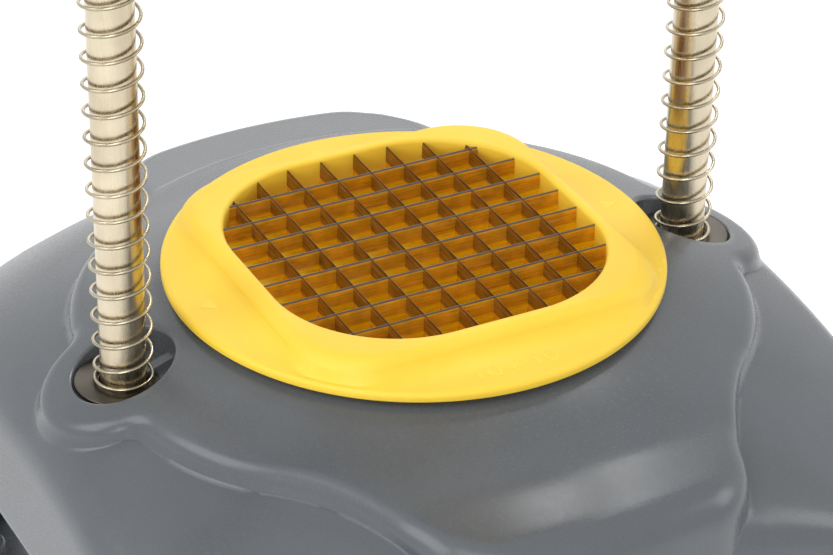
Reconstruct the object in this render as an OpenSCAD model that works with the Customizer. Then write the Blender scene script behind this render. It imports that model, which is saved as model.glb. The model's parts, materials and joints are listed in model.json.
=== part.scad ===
// Push-down french fry cutter: a grid insert in a four-legged base, two sprung guide rods and a sliding pusher.
// Millimetres. +Z is up, the front is -Y, and the origin is on the table under the middle of the grid.

/* [Cutting grid] */
// Distance from one blade to the next
cell_pitch = 10; // [9:0.5:12]
// Number of blades in each direction
blade_count = 8; // [6:2:8]
// Width of the cell between the last blade and the wall of the opening
edge_cell = 10.85; // [8:0.05:13]
// Thickness of a blade
blade_t = 0.6; // [0.4:0.1:1]
// Height of a blade
blade_h = 12.8; // [10:0.1:15]
// Height of the ground cutting edge
bevel_h = 0.9; // [0.5:0.1:1.5]
// Length of each blade end that is held in the wall
blade_hold = 1.6; // [1:0.1:2]

/* [Insert frame] */
// Corner radius of the opening
opening_r = 33.5; // [28:0.5:36]
// Width of the flat rim round the opening
rim_w = 4.45; // [3:0.05:6]
// Height of the rim above the cutting edges
rim_rise = 1; // [0.5:0.1:2]
// Corner radius of the rim's outer edge
rim_corner_r = 21.7; // [18:0.1:25]
// How far the raised wall spreads at its foot
wall_spread = 1; // [0.5:0.1:2]
// Depth of the round flange's top below the cutting edges
flange_drop = 5.2; // [4:0.1:7]
// Thickness of the round flange
flange_t = 2.7; // [2:0.1:4]
// Width of the round flange beyond the opening
flange_w = 20.55; // [19:0.05:23]
// Wall of the skirt that plugs into the base
skirt_t = 2.75; // [2.4:0.05:4]
// Depth of the skirt's lower edge below the cutting edges
skirt_drop = 20; // [17:0.5:26]

/* [Base] */
// Height of the cutting edges above the table
blade_plane = 150; // [140:1:175]
// Wall of the base moulding
wall = 3.5; // [2.5:0.1:5]
// Radius of the domed deck
deck_r = 240; // [230:1:280]
// Depth of the deck's crown below the cutting edges
deck_drop = 0.8; // [0.5:0.1:2]
// Radius of the lower body's dome
body_r = 220; // [210:1:250]
// Depth of the lower body's crown below the cutting edges
body_drop = 3.8; // [3:0.1:6]
// Corner radius of the base at the table
foot_corner_r = 47; // [44:1:50]
// Corner radius of the base at its shoulder
shoulder_corner_r = 37; // [34:1:40]
// Distance from a rod's axis in to the centre of the base's corner
corner_inset = 10.75; // [8:0.25:12]
// Height of the arches between the legs
arch_h = 84; // [74:1:88]
// Radius of the arches' upper corners
arch_r = 26; // [15:1:34]
// Gap between the legs' edges and the table
leg_gap = 3; // [2:0.5:5]

/* [Raised deck outline] */
// Radius of the lobe round each rod
lobe_r = 21.5; // [19:0.5:23]
// Radius of the hollow beside each lobe
waist_r = 8; // [5:0.5:12]
// Radius of the outline's swelling beside the grid
belly_r = 66; // [60:1:72]
// How far the swelling reaches past the rod's axis
belly_reach = 5; // [3:0.5:8]
// Distance of the swelling's centre from the rods' plane
belly_offset = 10.8; // [8:0.2:14]
// Half width of the front and back noses
nose_half = 41.3; // [38:0.1:45]
// Radius of the sweep from the swelling into the nose
sweep_r = 81; // [70:1:90]
// Distance of each nose's face from the rods' plane
nose_reach = 113.6; // [112.5:0.1:116]
// Radius of each nose's upper edge
nose_roll = 10; // [6:0.5:14]
// Radius of each nose's end, seen from above
nose_end_r = 165; // [140:5:300]
// Radius of each nose's corners, seen from above
nose_corner_r = 22; // [16:1:26]
// Distance of the crease across each nose from the rods' plane
crease_y = 89; // [84:0.5:94]
// Fall of each nose's top, in degrees
nose_fall = 8; // [5:0.5:12]
// Radius of each nose's top from side to side
nose_crown_r = 320; // [260:5:400]

/* [Guide rods] */
// Diameter of a rod
rod_d = 12; // [10:0.5:14]
// Radius of the pocket round each rod
pocket_r = 13.1; // [12:0.1:14]
// Gap between the round flange and a pocket
pocket_gap = 3.25; // [2:0.25:5]
// Depth of the pocket's floor below the cutting edges
pocket_drop = 22; // [20:0.5:26]
// Length of rod held in the base
rod_hold = 30; // [24:1:34]
// Thickness of the web that each rod stands on
web_t = 6; // [4:0.5:8]

/* [Springs] */
// Mean radius of a spring
spring_r = 7.4; // [7.1:0.05:7.6]
// Diameter of the spring's wire
wire_d = 0.95; // [0.8:0.05:1.1]
// Distance from one open coil to the next
coil_pitch = 7.3; // [7:0.1:9]

/* [Slide] */
// Travel of the carriage
travel = 150; // [130:1:160]
// Gap between the pusher and the grid's rim at full travel
end_gap = 1.5; // [1:0.1:3]
// Depth that the fingers pass below the blades at full travel
finger_pass = 1.2; // [0.8:0.1:2]
// Running clearance between a rod and its bushes, all round
running_fit = 0.05; // [0.03:0.01:0.08]

/* [Pusher] */
// Clearance between the pusher and the opening
pusher_gap = 0.6; // [0.4:0.1:1]
// Width of the slots that pass the blades
slot_w = 1.8; // [1.4:0.1:2.4]
// Thickness of the pusher above its fingers
pusher_t = 12; // [10:0.5:16]
// Thickness of the steel plate on the pusher
backplate_t = 3; // [2:0.5:4]
// Half width of the steel plate
backplate_half = 36; // [34:0.5:38]

/* [Crosshead] */
// Radius of the crosshead round each rod
hub_r = 21; // [19:0.5:23]
// Radius of the crosshead's middle
middle_r = 38; // [37:0.5:42]
// Height of the crosshead's walls
crosshead_h = 34.5; // [32:0.5:38]
// Thickness of the crosshead's walls and floor
crosshead_wall = 4; // [3:0.25:4.5]
// How far each hub hangs below the crosshead's floor
hub_drop = 5.5; // [4:0.5:8]
// Height of the cover
cover_h = 6; // [5.5:0.5:8]
// Length of a bush without its flange
bush_len = 16; // [12:0.5:17]

/* [Handles] */
// Overall width over both handles
handles_w = 378; // [354:2:410]
// Radius of a grip at its fullest
grip_r = 15.5; // [14:0.25:18]
// Diameter of the steel stud in each grip
stud_d = 12; // [10:0.5:13]
// Length of the boss that holds each stud
ear_len = 18; // [14:0.5:22]

/* [Feet] */
// Radius of a rubber foot at its widest
foot_r = 15; // [13:0.5:16]
// Height of a rubber foot
foot_h = 7; // [6:0.5:9]

/* [Hidden] */
$fn = 96;
big_fn = 240;          // for the large domes
rim_fn = 64;           // for the insert's rim
arc_steps = 14;        // in a long arc of an outline
corner_steps = 12;
short_steps = 6;
eps = 0.5;             // overlap of a cut past the face that it opens
over = 30;             // how far a large cutting solid runs on beyond what it cuts
sunk = 1;              // how far a piece's parts run into each other
sheet = 0.1;           // thickness of the sheets that a hull joins
snug = 0.02;           // clearance of a fixed fit, all round
loose = 0.1;           // clearance of a dropped-in piece, all round

// Grid and insert
opening_half = (blade_count - 1) / 2 * cell_pitch + edge_cell;
rim_half = opening_half + rim_w;
flange_r = opening_half + flange_w;
wall_foot_half = rim_half + wall_spread;
corner_land = 0.5;     // width of flange left outside the wall's foot at the four corners
wall_foot_r = (wall_foot_half * sqrt(2) - flange_r + corner_land) / (sqrt(2) - 1);
skirt_half = opening_half + skirt_t;
skirt_r = opening_r + skirt_t;
rim_z = blade_plane + rim_rise;
flange_z = blade_plane - flange_drop;
seat_z = flange_z - flange_t;
skirt_z = blade_plane - skirt_drop;
blade_z = blade_plane - blade_h;
lap_gap = 0.05;        // side clearance where two blades cross
edge_land = 0.12;      // flat left on a ground edge

// Base
rod_r = rod_d / 2;
rod_x = flange_r + pocket_gap + pocket_r;
corner_c = rod_x - corner_inset;
shoulder_z = 118;      // where the shoulder's corner radius is measured
deck_top = blade_plane - deck_drop;
throat_gap = 0.5;      // between the skirt and the throat
throat_half = skirt_half + throat_gap;
throat_r = skirt_r + throat_gap;
throat_t = 3;
throat_drop = 24;      // depth of the throat's lower edge below the skirt's
throat_z = skirt_z - throat_drop;
pocket_z = blade_plane - pocket_drop;
rod_z = pocket_z - rod_hold;
boss_z = rod_z - web_t;
boss_wall = 3.9;
boss_r = pocket_r + boss_wall;
roll_lift = 0.05;      // how far the noses' rolled edges start above their tops
arch_half = corner_c;
rib_t = 3;
crease_z = deck_top - deck_r + sqrt(deck_r * deck_r - crease_y * crease_y);
foot_offset = 20;      // from the centre of the base's corner out to the foot, along X and along Y
foot_at = corner_c + foot_offset;
foot_plate_t = 4;
foot_boss_r = 6;
foot_boss_h = 13;

// Deck outline: centres of its arcs in the quarter where X and Y are positive
lobe_c = [rod_x, 0];
belly_c = [rod_x + belly_reach - belly_r, belly_offset];
sweep_dx = nose_half + sweep_r - belly_c.x;
sweep_c = [nose_half + sweep_r, belly_c.y + sqrt(pow(belly_r + sweep_r, 2) - sweep_dx * sweep_dx)];
end_c = [0, nose_reach - nose_end_r];

// Fasteners
m6_r = 2.95;
m6_head_r = 5;
m6_head_h = 5.5;
m5_r = 2.45;
m5_head_r = 4.2;
m5_head_h = 3.2;
m4_r = 1.95;
m3_r = 1.45;
m3_head_r = 3;
washer_t = 1.6;
washer_r = 9;
seat_t = 1.5;
seat_gap = 0.4;        // between a spring's seat and its pocket
washer_gap = 0.3;      // between a rod or a screw and a washer's bore
seat_bore_r = rod_r + washer_gap;
screw_gap = 0.1;       // between a screw and its hole, all round
thread_gap = 0.05;     // the same in a tapped hole
tap_end = 2;           // depth of a tapped hole past its screw's end
screw_head = 2;        // height of a small screw's head

// Carriage, at rest
full_down_z = rim_z + end_gap;                       // underside of the pusher's plate at full travel
finger_h = full_down_z - (blade_z - finger_pass);
pusher_z = full_down_z + travel;
finger_z = pusher_z - finger_h;
backplate_z = pusher_z + pusher_t;
crosshead_z = backplate_z + backplate_t;
hub_z = crosshead_z - hub_drop;
crosshead_top = crosshead_z + crosshead_h;
floor_extra = 2;       // the floor is this much thicker than the walls
floor_z = crosshead_z + crosshead_wall + floor_extra;
hub_neck = 1.5;        // how much slimmer each hub is below the crosshead's floor
bush_wall = 3;
bush_r = rod_r + bush_wall;
bush_flange_w = 2.5;
bush_flange_r = bush_r + bush_flange_w;
bush_flange_t = 2;
cup_edge = 2.6;        // how far a spring cup reaches past the spring
cup_r = spring_r + wire_d / 2 + cup_edge;
cup_z = hub_z - bush_flange_t - seat_t;
carriage_top = crosshead_top + bush_flange_t;
stud_r = stud_d / 2;
stud_rise = 0.42;      // share of the crosshead's height at which the studs sit
stud_z = crosshead_z + crosshead_h * stud_rise;
stud_gap = 2.75;       // between a stud's inner end and the bush
stud_x = rod_x + bush_r + stud_gap;
stud_short = 3;        // how far a stud ends inside its grip's end
ear_wall = 7;
ear_r = stud_r + ear_wall;
ear_root = 7.75;       // length of each ear inside the hub's outline
ear_x = rod_x + hub_r + ear_len - ear_root;
set_screw_x = ear_x - 8;
grip_cap_w = 3;
grip_x = handles_w / 2 - grip_cap_w;
grip_len = grip_x - ear_x;
screw_inset = 14;
screw_at = middle_r - crosshead_wall - screw_inset;
cover_screw_inset = 31;
cover_screw_x = rod_x - cover_screw_inset;
cover_screw_y = 17;
cover_crown_r = 240;
cover_hole_r = bush_flange_r + 1;
cover_seat = 2.4;      // cover left under a screw's head
cover_seat_z = crosshead_top + cover_seat;
cover_screw_len = 13;
backplate_corner_r = 12;

// Rod ends
bumper_gap = 0.3;
bumper_z = carriage_top + bumper_gap;
bumper_h = 7.5;
bumper_r = 11;
cap_z = bumper_z + bumper_h;
cap_r = 12;
cap_h = 10;
cap_wall = 3.5;
rod_top = cap_z + cap_h - cap_wall;
rod_tap = 15;          // depth of the tapped hole in each end of a rod

// Springs
spring_z = pocket_z + seat_t;
spring_len = cup_z - spring_z;
dead_gap = 0.15;
dead_pitch = wire_d + dead_gap;                      // of the closed coil at each end
open_turns = round((spring_len - wire_d - 2 * dead_pitch) / coil_pitch);
open_pitch = (spring_len - wire_d - 2 * dead_pitch) / open_turns;
ring_steps = 10;       // rings of points in each coil
wire_sides = 6;

function arc(c, r, from, to, steps, first = 0) =
    [for (i = [first:steps]) let (a = from + (to - from) * i / steps) c + r * [cos(a), sin(a)]];
function heading(a, b) = atan2(b.y - a.y, b.x - a.x);
function flipped(points, sx, sy) = [for (i = [len(points) - 1:-1:0]) [sx * points[i].x, sy * points[i].y]];
// Where two circles meet, on the right-hand side going from the first centre to the second
function circles_meet(a, ra, b, rb) =
    let (d = norm(b - a), u = (b - a) / d, along = (ra * ra - rb * rb + d * d) / (2 * d))
    a + along * u + sqrt(ra * ra - along * along) * [u.y, -u.x];

// One quarter of the raised deck's outline, drawn in by inset, just outside the noses' faces
function deck_quarter(inset) =
    let (waist_c = circles_meet(lobe_c, lobe_r + waist_r, belly_c, belly_r + waist_r),
         end_r = nose_end_r + eps,
         end_stop = 89,
         corner_c = circles_meet(sweep_c, sweep_r + nose_corner_r, end_c, end_r - nose_corner_r),
         turn = heading(belly_c, sweep_c))
    concat(
        arc(lobe_c, lobe_r - inset, 0, heading(lobe_c, waist_c), arc_steps),
        arc(waist_c, waist_r + inset, heading(waist_c, lobe_c), heading(waist_c, belly_c), short_steps, 1),
        arc(belly_c, belly_r - inset, heading(belly_c, waist_c), turn, arc_steps, 1),
        arc(sweep_c, sweep_r + inset, 180 + turn, 360 + heading(sweep_c, corner_c), arc_steps, 1),
        arc(corner_c, nose_corner_r - inset, heading(corner_c, sweep_c), heading(end_c, corner_c),
            corner_steps, 1),
        arc(end_c, end_r - inset, heading(end_c, corner_c), end_stop, short_steps, 1));

function without_first(points) = [for (i = [1:len(points) - 1]) points[i]];
function deck_outline(inset) =
    let (q = deck_quarter(inset), inner = without_first(q))
    concat(q, flipped(inner, -1, 1), [[-q[0].x, 0]], [for (p = inner) [-p.x, -p.y]], flipped(inner, 1, -1));

// Height of a coil's centre line after a number of turns
function coil_z(turn) =
    turn < 1 ? dead_pitch * turn
    : turn < 1 + open_turns ? dead_pitch + open_pitch * (turn - 1)
    : dead_pitch + open_pitch * open_turns + dead_pitch * (turn - 1 - open_turns);

module rounded_square(half, r) {
    square([2 * half, 2 * (half - r)], center = true);
    square([2 * (half - r), 2 * half], center = true);
    for (x = [-1, 1], y = [-1, 1]) translate([x, y] * (half - r)) circle(r);
}

module at_rods() {
    for (side = [-1, 1]) translate([side * rod_x, 0, 0]) children();
}

module at_corners(distance) {
    for (x = [-1, 1], y = [-1, 1]) translate([x * distance, y * distance, 0]) children();
}

module at_cover_screws() {
    for (x = [-1, 1], y = [-1, 1]) translate([x * cover_screw_x, y * cover_screw_y, 0]) children();
}

// A ring or tube with its axis along Z
module ring(inner, outer, z, h) {
    translate([0, 0, z]) rotate_extrude() translate([inner, 0]) square([outer - inner, h]);
}

// ---- base ----

// A block with rounded corners that spreads towards the table, drawn in by inset
module spreading_block(inset, low, high) {
    function r_at(z) = foot_corner_r - inset - (foot_corner_r - shoulder_corner_r) * z / shoulder_z;
    side = [[-corner_c - r_at(low), low], [corner_c + r_at(low), low],
            [corner_c + r_at(high), high], [-corner_c - r_at(high), high]];
    at_corners(corner_c) translate([0, 0, low]) cylinder(h = high - low, r1 = r_at(low), r2 = r_at(high));
    for (turn = [0, 90])
        rotate([90, 0, turn]) linear_extrude(2 * corner_c, center = true) polygon(side);
}

// The block that ends both noses: curved faces, rolled edges and a roof above the dome
module nose_ends(inset) {
    reach = nose_reach - inset;
    roll = nose_roll - inset;
    roll_y = reach - roll;
    roll_z = crease_z - tan(nose_fall) * (roll_y - crease_y) - (roll + inset) / cos(nose_fall) + roll_lift;
    axis_y = nose_end_r - nose_reach;
    roof = deck_top + over;
    edge = concat([[0, 0], [reach + axis_y, 0]], arc([roll_y + axis_y, roll_z], roll, 0, 90 - nose_fall, 10),
                  [[crease_y / 2 + axis_y, roof], [0, roof]]);
    intersection_for(side = [-1, 1])
        translate([0, side * axis_y, 0]) rotate_extrude($fn = big_fn) polygon(edge);
}

module deck(inset, low) {
    intersection() {
        union() {
            translate([0, 0, deck_top - deck_r]) sphere(deck_r - inset, $fn = big_fn);
            for (turn = [0, 180])
                rotate([0, 0, turn]) intersection() {
                    translate([0, crease_y, crease_z]) rotate([-nose_fall, 0, 0])
                        translate([0, 0, -nose_crown_r]) rotate([90, 0, 0])
                            cylinder(h = 3 * nose_reach, r = nose_crown_r - inset, center = true, $fn = big_fn);
                    translate([-nose_reach, crease_y - over, 0]) cube([2 * nose_reach, nose_reach, deck_top]);
                }
        }
        translate([0, 0, low]) linear_extrude(deck_top + over - low) polygon(deck_outline(inset));
        nose_ends(inset);
    }
}

module body_dome(inset) {
    translate([0, 0, blade_plane - body_drop - body_r]) sphere(body_r - inset, $fn = big_fn);
}

module base_outside() {
    intersection() {
        spreading_block(0, leg_gap, deck_top);
        body_dome(0);
    }
    deck(0, arch_h - 2);
}

// What stands inside the shell: throat, rod bosses, ribs, and the plates and bosses for the feet
module base_inside() {
    leg_reach = corner_c + foot_corner_r;
    translate([0, 0, throat_z]) linear_extrude(deck_top - throat_z)
        rounded_square(throat_half + throat_t, throat_r + throat_t);
    at_rods() translate([0, 0, boss_z]) cylinder(h = deck_top - boss_z, r = boss_r);
    for (turn = [0, 90]) rotate([0, 0, turn])
        translate([-leg_reach, -rib_t / 2, throat_z]) cube([2 * leg_reach, rib_t, deck_top - throat_z]);
    for (turn = [45:90:315]) rotate([90, 0, turn]) linear_extrude(rib_t, center = true) leg_rib();
    at_corners(corner_c + foot_corner_r / 2) translate([0, 0, foot_h + foot_plate_t / 2])
        cube([foot_corner_r, foot_corner_r, foot_plate_t], center = true);
    at_corners(foot_at) translate([0, 0, foot_h]) cylinder(h = foot_boss_h, r = foot_boss_r);
}

// The rib that runs from the throat over the shoulder and down a leg, along the diagonal
module leg_rib() {
    corner_reach = corner_c * sqrt(2) + foot_corner_r;
    foot_w = 14;
    knee_w = 22;
    knee_z = arch_h - arch_r;
    hip_w = 40;
    polygon([[throat_half + throat_t, throat_z], [throat_half + throat_t, deck_top], [corner_reach, deck_top],
             [corner_reach, foot_h], [corner_reach - foot_w, foot_h], [corner_reach - knee_w, knee_z],
             [corner_reach - hip_w, arch_h]]);
}

module arch_cut() {
    rotate([90, 0, 0]) linear_extrude(4 * nose_reach, center = true) {
        translate([-arch_half, -eps]) square([2 * arch_half, arch_h - arch_r + eps]);
        translate([arch_r - arch_half, 0]) square([2 * (arch_half - arch_r), arch_h]);
        for (side = [-1, 1]) translate([side * (arch_half - arch_r), arch_h - arch_r]) circle(arch_r);
    }
}

module base_shell() {
    color([0.42, 0.45, 0.47]) difference() {
        base_outside();
        difference() {
            union() {
                intersection() {
                    spreading_block(wall, -1, deck_top);
                    body_dome(wall);
                }
                deck(wall, -1);
            }
            base_inside();
        }
        arch_cut();
        rotate([0, 0, 90]) arch_cut();
        translate([0, 0, seat_z]) cylinder(h = over, r = flange_r);
        translate([0, 0, -eps]) linear_extrude(deck_top + over) rounded_square(throat_half, throat_r);
        at_rods() {
            translate([0, 0, pocket_z]) cylinder(h = pocket_drop + over, r = pocket_r);
            translate([0, 0, rod_z]) cylinder(h = rod_hold + eps, r = rod_r + snug);
            translate([0, 0, boss_z - eps]) cylinder(h = web_t + 2 * eps, r = m6_r + washer_gap);
        }
        at_corners(foot_at) translate([0, 0, foot_h - eps])
            cylinder(h = foot_boss_h - 1, r = m4_r + thread_gap);
    }
}

module foot(x, y) {
    head_bore = 4.6;
    edge = 1.2;
    taper = 1.5;
    bore = m4_r + 2 * screw_gap;
    color([0.12, 0.12, 0.13]) translate([x * foot_at, y * foot_at, 0]) rotate_extrude()
        polygon([[head_bore, 0], [foot_r - edge, 0], [foot_r, edge], [foot_r - taper, foot_h], [bore, foot_h],
                 [bore, foot_h / 2], [head_bore, foot_h / 2]]);
}

module foot_screws() {
    head_h = 2.4;
    head_r = 4;
    color("silver") at_corners(foot_at) {
        translate([0, 0, foot_h / 2 - head_h]) cylinder(h = head_h, r = head_r);
        translate([0, 0, foot_h / 2 - head_h]) cylinder(h = foot_boss_h, r = m4_r);
    }
}

// ---- grid insert ----

module insert_frame() {
    color([0.98, 0.82, 0.22]) difference() {
        union() {
            hull() {
                translate([0, 0, rim_z - sheet]) linear_extrude(sheet)
                    rounded_square(rim_half, rim_corner_r, $fn = rim_fn);
                translate([0, 0, flange_z - sheet]) linear_extrude(sheet)
                    rounded_square(wall_foot_half, wall_foot_r, $fn = rim_fn);
            }
            translate([0, 0, seat_z]) cylinder(h = flange_t, r = flange_r);
            translate([0, 0, skirt_z]) linear_extrude(seat_z - skirt_z + sunk)
                rounded_square(skirt_half, skirt_r);
        }
        translate([0, 0, skirt_z - eps]) linear_extrude(skirt_drop + rim_rise + 2 * eps)
            rounded_square(opening_half, opening_r);
        for (turn = [0, 90]) rotate([0, 0, turn]) blade_row(blade_hold + snug, blade_t + 2 * snug, snug);
    }
}

// Blank blades along X, cut to the shape of the opening
module blade_row(hold, t, grow) {
    intersection() {
        translate([0, 0, blade_z - grow]) linear_extrude(blade_h + 2 * grow)
            rounded_square(opening_half + hold, opening_r + hold);
        for (i = [0:blade_count - 1])
            translate([0, (i - (blade_count - 1) / 2) * cell_pitch, 0]) rotate([90, 0, 90])
                linear_extrude(4 * opening_half, center = true)
                    polygon([[-t / 2, blade_z - grow], [t / 2, blade_z - grow],
                             [t / 2, blade_plane - bevel_h + grow], [edge_land / 2 + grow, blade_plane + grow],
                             [-edge_land / 2 - grow, blade_plane + grow],
                             [-t / 2, blade_plane - bevel_h + grow]]);
    }
}

// The half laps at the crossings: from low up to high, one for each blade of the other row
module laps(low, high) {
    w = blade_t + 2 * lap_gap;
    for (i = [0:blade_count - 1])
        translate([(i - (blade_count - 1) / 2) * cell_pitch - w / 2, -2 * opening_half, low])
            cube([w, 4 * opening_half, high - low]);
}

module blades_lengthwise() {
    color("silver") difference() {
        blade_row(blade_hold, blade_t, 0);
        laps(blade_z - eps, blade_z + blade_h / 2 + lap_gap);
    }
}

module blades_crosswise() {
    color("silver") rotate([0, 0, 90]) difference() {
        blade_row(blade_hold, blade_t, 0);
        laps(blade_z + blade_h / 2 - lap_gap, blade_plane + eps);
    }
}

// ---- guide rods and springs ----

module guide_rod(side) {
    chamfer = 0.8;
    color([0.7, 0.68, 0.64]) translate([side * rod_x, 0, 0]) difference() {
        rotate_extrude() polygon([[0, rod_z], [rod_r - chamfer, rod_z], [rod_r, rod_z + chamfer],
                                  [rod_r, rod_top - chamfer], [rod_r - chamfer, rod_top], [0, rod_top]]);
        translate([0, 0, rod_z - eps]) cylinder(h = rod_tap + eps, r = m6_r + thread_gap);
        translate([0, 0, rod_top - rod_tap]) cylinder(h = rod_tap + eps, r = m5_r + thread_gap);
    }
}

module rod_washers() {
    color("silver") at_rods() ring(m6_r + washer_gap, washer_r, boss_z - washer_t, washer_t);
}

module rod_bolts() {
    head_top = boss_z - washer_t;
    color("silver") at_rods() {
        translate([0, 0, head_top - m6_head_h])
            cylinder(h = m6_head_h, r = m6_head_r * 2 / sqrt(3), $fn = 6);
        translate([0, 0, head_top - sunk]) cylinder(h = sunk + washer_t + web_t + rod_tap - tap_end, r = m6_r);
    }
}

module spring_seats() {
    color("silver") at_rods() ring(seat_bore_r, pocket_r - seat_gap, pocket_z, seat_t);
}

module spring_cups() {
    color("silver") at_rods() ring(seat_bore_r, cup_r, cup_z, seat_t);
}

module spring(side) {
    turns = open_turns + 2;
    steps = round(turns * ring_steps);
    wire_r = wire_d / 2;
    points = [for (i = [0:steps], k = [0:wire_sides - 1])
        let (turn = i / ring_steps, a = 360 * turn, b = 360 * (k + 0.5) / wire_sides,
             r = spring_r + wire_r * cos(b), z = spring_z + wire_r + coil_z(turn) + wire_r * sin(b))
        [r * cos(a), r * sin(a), z]];
    sides = [for (i = [0:steps - 1], k = [0:wire_sides - 1])
        let (next = (k + 1) % wire_sides, here = i * wire_sides, ahead = here + wire_sides)
        [here + k, here + next, ahead + next, ahead + k]];
    ends = [[for (k = [wire_sides - 1:-1:0]) k], [for (k = [0:wire_sides - 1]) steps * wire_sides + k]];
    color([0.7, 0.67, 0.6]) translate([side * rod_x, 0, 0])
        polyhedron(points, concat(sides, ends), convexity = 10);
}

module stop_bumpers() {
    color([0.12, 0.12, 0.13]) at_rods() ring(rod_r + snug, bumper_r, bumper_z, bumper_h);
}

module rod_caps() {
    edge = 2;
    color([0.35, 0.38, 0.4]) at_rods() difference() {
        rotate_extrude() {
            translate([0, cap_z]) square([cap_r, cap_h - edge]);
            translate([0, cap_z]) square([cap_r - edge, cap_h]);
            translate([cap_r - edge, cap_z + cap_h - edge]) circle(edge);
        }
        translate([0, 0, cap_z - eps]) cylinder(h = rod_top - cap_z + eps, r = rod_r + snug);
        translate([0, 0, cap_z]) cylinder(h = cap_h + eps, r = m5_r + screw_gap);
    }
}

module cap_screws() {
    color("silver") at_rods() {
        translate([0, 0, cap_z + cap_h]) difference() {
            cylinder(h = m5_head_h, r = m5_head_r);
            translate([0, 0, m5_head_h / 2]) cylinder(h = m5_head_h, r = m5_r, $fn = 6);
        }
        translate([0, 0, rod_top - rod_tap + tap_end])
            cylinder(h = cap_wall + rod_tap - tap_end + eps, r = m5_r);
    }
}

// ---- carriage ----

// The outline of the crosshead, drawn in by inset
module crosshead_outline(inset) {
    lean = acos((middle_r - hub_r) / rod_x);
    right = arc([rod_x, 0], hub_r - inset, -lean, lean, 24);
    back = arc([0, 0], middle_r - inset, lean, 180 - lean, 8);
    polygon(concat(right, back, [for (p = right) -p], [for (p = back) -p]));
}

module crosshead() {
    inside_h = crosshead_top - floor_z;
    ear_from = rod_x + bush_r + 2;
    tube_wall = 4;
    post_r = 4.5;
    post_short = 2;
    tap = 16;
    color([0.42, 0.45, 0.47]) difference() {
        union() {
            translate([0, 0, crosshead_z]) linear_extrude(crosshead_h) crosshead_outline(0);
            at_rods() translate([0, 0, hub_z]) cylinder(h = hub_drop + sunk, r = hub_r - hub_neck);
            for (side = [0, 180]) rotate([0, 0, side]) translate([ear_from, 0, stud_z]) rotate([0, 90, 0])
                cylinder(h = ear_x - ear_from, r = ear_r);
        }
        difference() {
            translate([0, 0, floor_z]) linear_extrude(crosshead_h) crosshead_outline(crosshead_wall);
            at_rods() translate([0, 0, floor_z - sunk]) cylinder(h = inside_h + sunk, r = bush_r + tube_wall);
            for (side = [-1, 1]) translate([side * (rod_x + hub_r), 0, floor_z - sunk + (inside_h + sunk) / 2])
                cube([2 * (hub_r - bush_r), 2 * hub_r, inside_h + sunk], center = true);
            at_cover_screws() translate([0, 0, floor_z - sunk])
                cylinder(h = inside_h - post_short, r = post_r);
        }
        at_rods() translate([0, 0, hub_z - eps])
            cylinder(h = crosshead_top - hub_z + 2 * eps, r = bush_r + snug);
        at_corners(screw_at) translate([0, 0, crosshead_z - eps])
            cylinder(h = crosshead_wall + floor_extra + 2 * eps, r = m5_r + screw_gap);
        at_cover_screws() translate([0, 0, crosshead_top - tap]) cylinder(h = over, r = m3_r + thread_gap);
        for (side = [0, 180]) rotate([0, 0, side]) {
            translate([stud_x, 0, stud_z]) rotate([0, 90, 0])
                cylinder(h = ear_x - stud_x + eps, r = stud_r + snug);
            translate([set_screw_x, 0, stud_z]) cylinder(h = ear_r + eps, r = m5_r + snug);
        }
    }
}

module crosshead_cover() {
    lip_gap = 0.3;
    lip_t = 2;
    lip_h = 2.5;
    lip_half = rod_x - hub_r - bush_r;
    head_gap = 0.3;
    color([0.35, 0.38, 0.4]) difference() {
        union() {
            intersection() {
                translate([0, 0, crosshead_top]) linear_extrude(cover_h + eps) crosshead_outline(0);
                translate([0, 0, crosshead_top + cover_h - cover_crown_r]) rotate([0, 90, 0])
                    cylinder(h = handles_w, r = cover_crown_r, center = true, $fn = big_fn);
            }
            translate([0, 0, crosshead_top - lip_h]) linear_extrude(lip_h + eps) difference() {
                crosshead_outline(crosshead_wall + lip_gap);
                crosshead_outline(crosshead_wall + lip_gap + lip_t);
                for (side = [-1, 1]) translate([side * (lip_half + rod_x), 0])
                    square([2 * rod_x, 4 * hub_r], center = true);
            }
        }
        at_rods() translate([0, 0, crosshead_top - eps]) cylinder(h = over, r = cover_hole_r);
        at_cover_screws() {
            translate([0, 0, crosshead_top - eps]) cylinder(h = over, r = m3_r + screw_gap);
            translate([0, 0, cover_seat_z]) cylinder(h = over, r = m3_head_r + head_gap);
        }
    }
}

module cover_screws() {
    color("silver") at_cover_screws() {
        translate([0, 0, cover_seat_z]) cylinder(h = screw_head, r = m3_head_r);
        translate([0, 0, crosshead_top - cover_screw_len])
            cylinder(h = cover_screw_len + cover_seat + screw_head / 2, r = m3_r);
    }
}

// A flanged bush with its flange below (up = false) or above
module bush(side, up) {
    color([0.9, 0.88, 0.8]) translate([side * rod_x, 0, 0]) {
        ring(rod_r + running_fit, bush_r, up ? crosshead_top - bush_len : hub_z, bush_len);
        ring(rod_r + running_fit, bush_flange_r, up ? crosshead_top : hub_z - bush_flange_t, bush_flange_t);
    }
}

module pusher_block() {
    half = opening_half - pusher_gap;
    color([0.98, 0.82, 0.22]) difference() {
        translate([0, 0, finger_z]) linear_extrude(finger_h + pusher_t)
            rounded_square(half, opening_r - pusher_gap);
        for (turn = [0, 90], i = [0:blade_count - 1]) rotate([0, 0, turn])
            translate([-2 * half, (i - (blade_count - 1) / 2) * cell_pitch - slot_w / 2, finger_z - eps])
                cube([4 * half, slot_w, finger_h + eps]);
        at_corners(screw_at) translate([0, 0, pusher_z + sunk]) cylinder(h = pusher_t, r = m5_r + screw_gap);
    }
}

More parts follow.
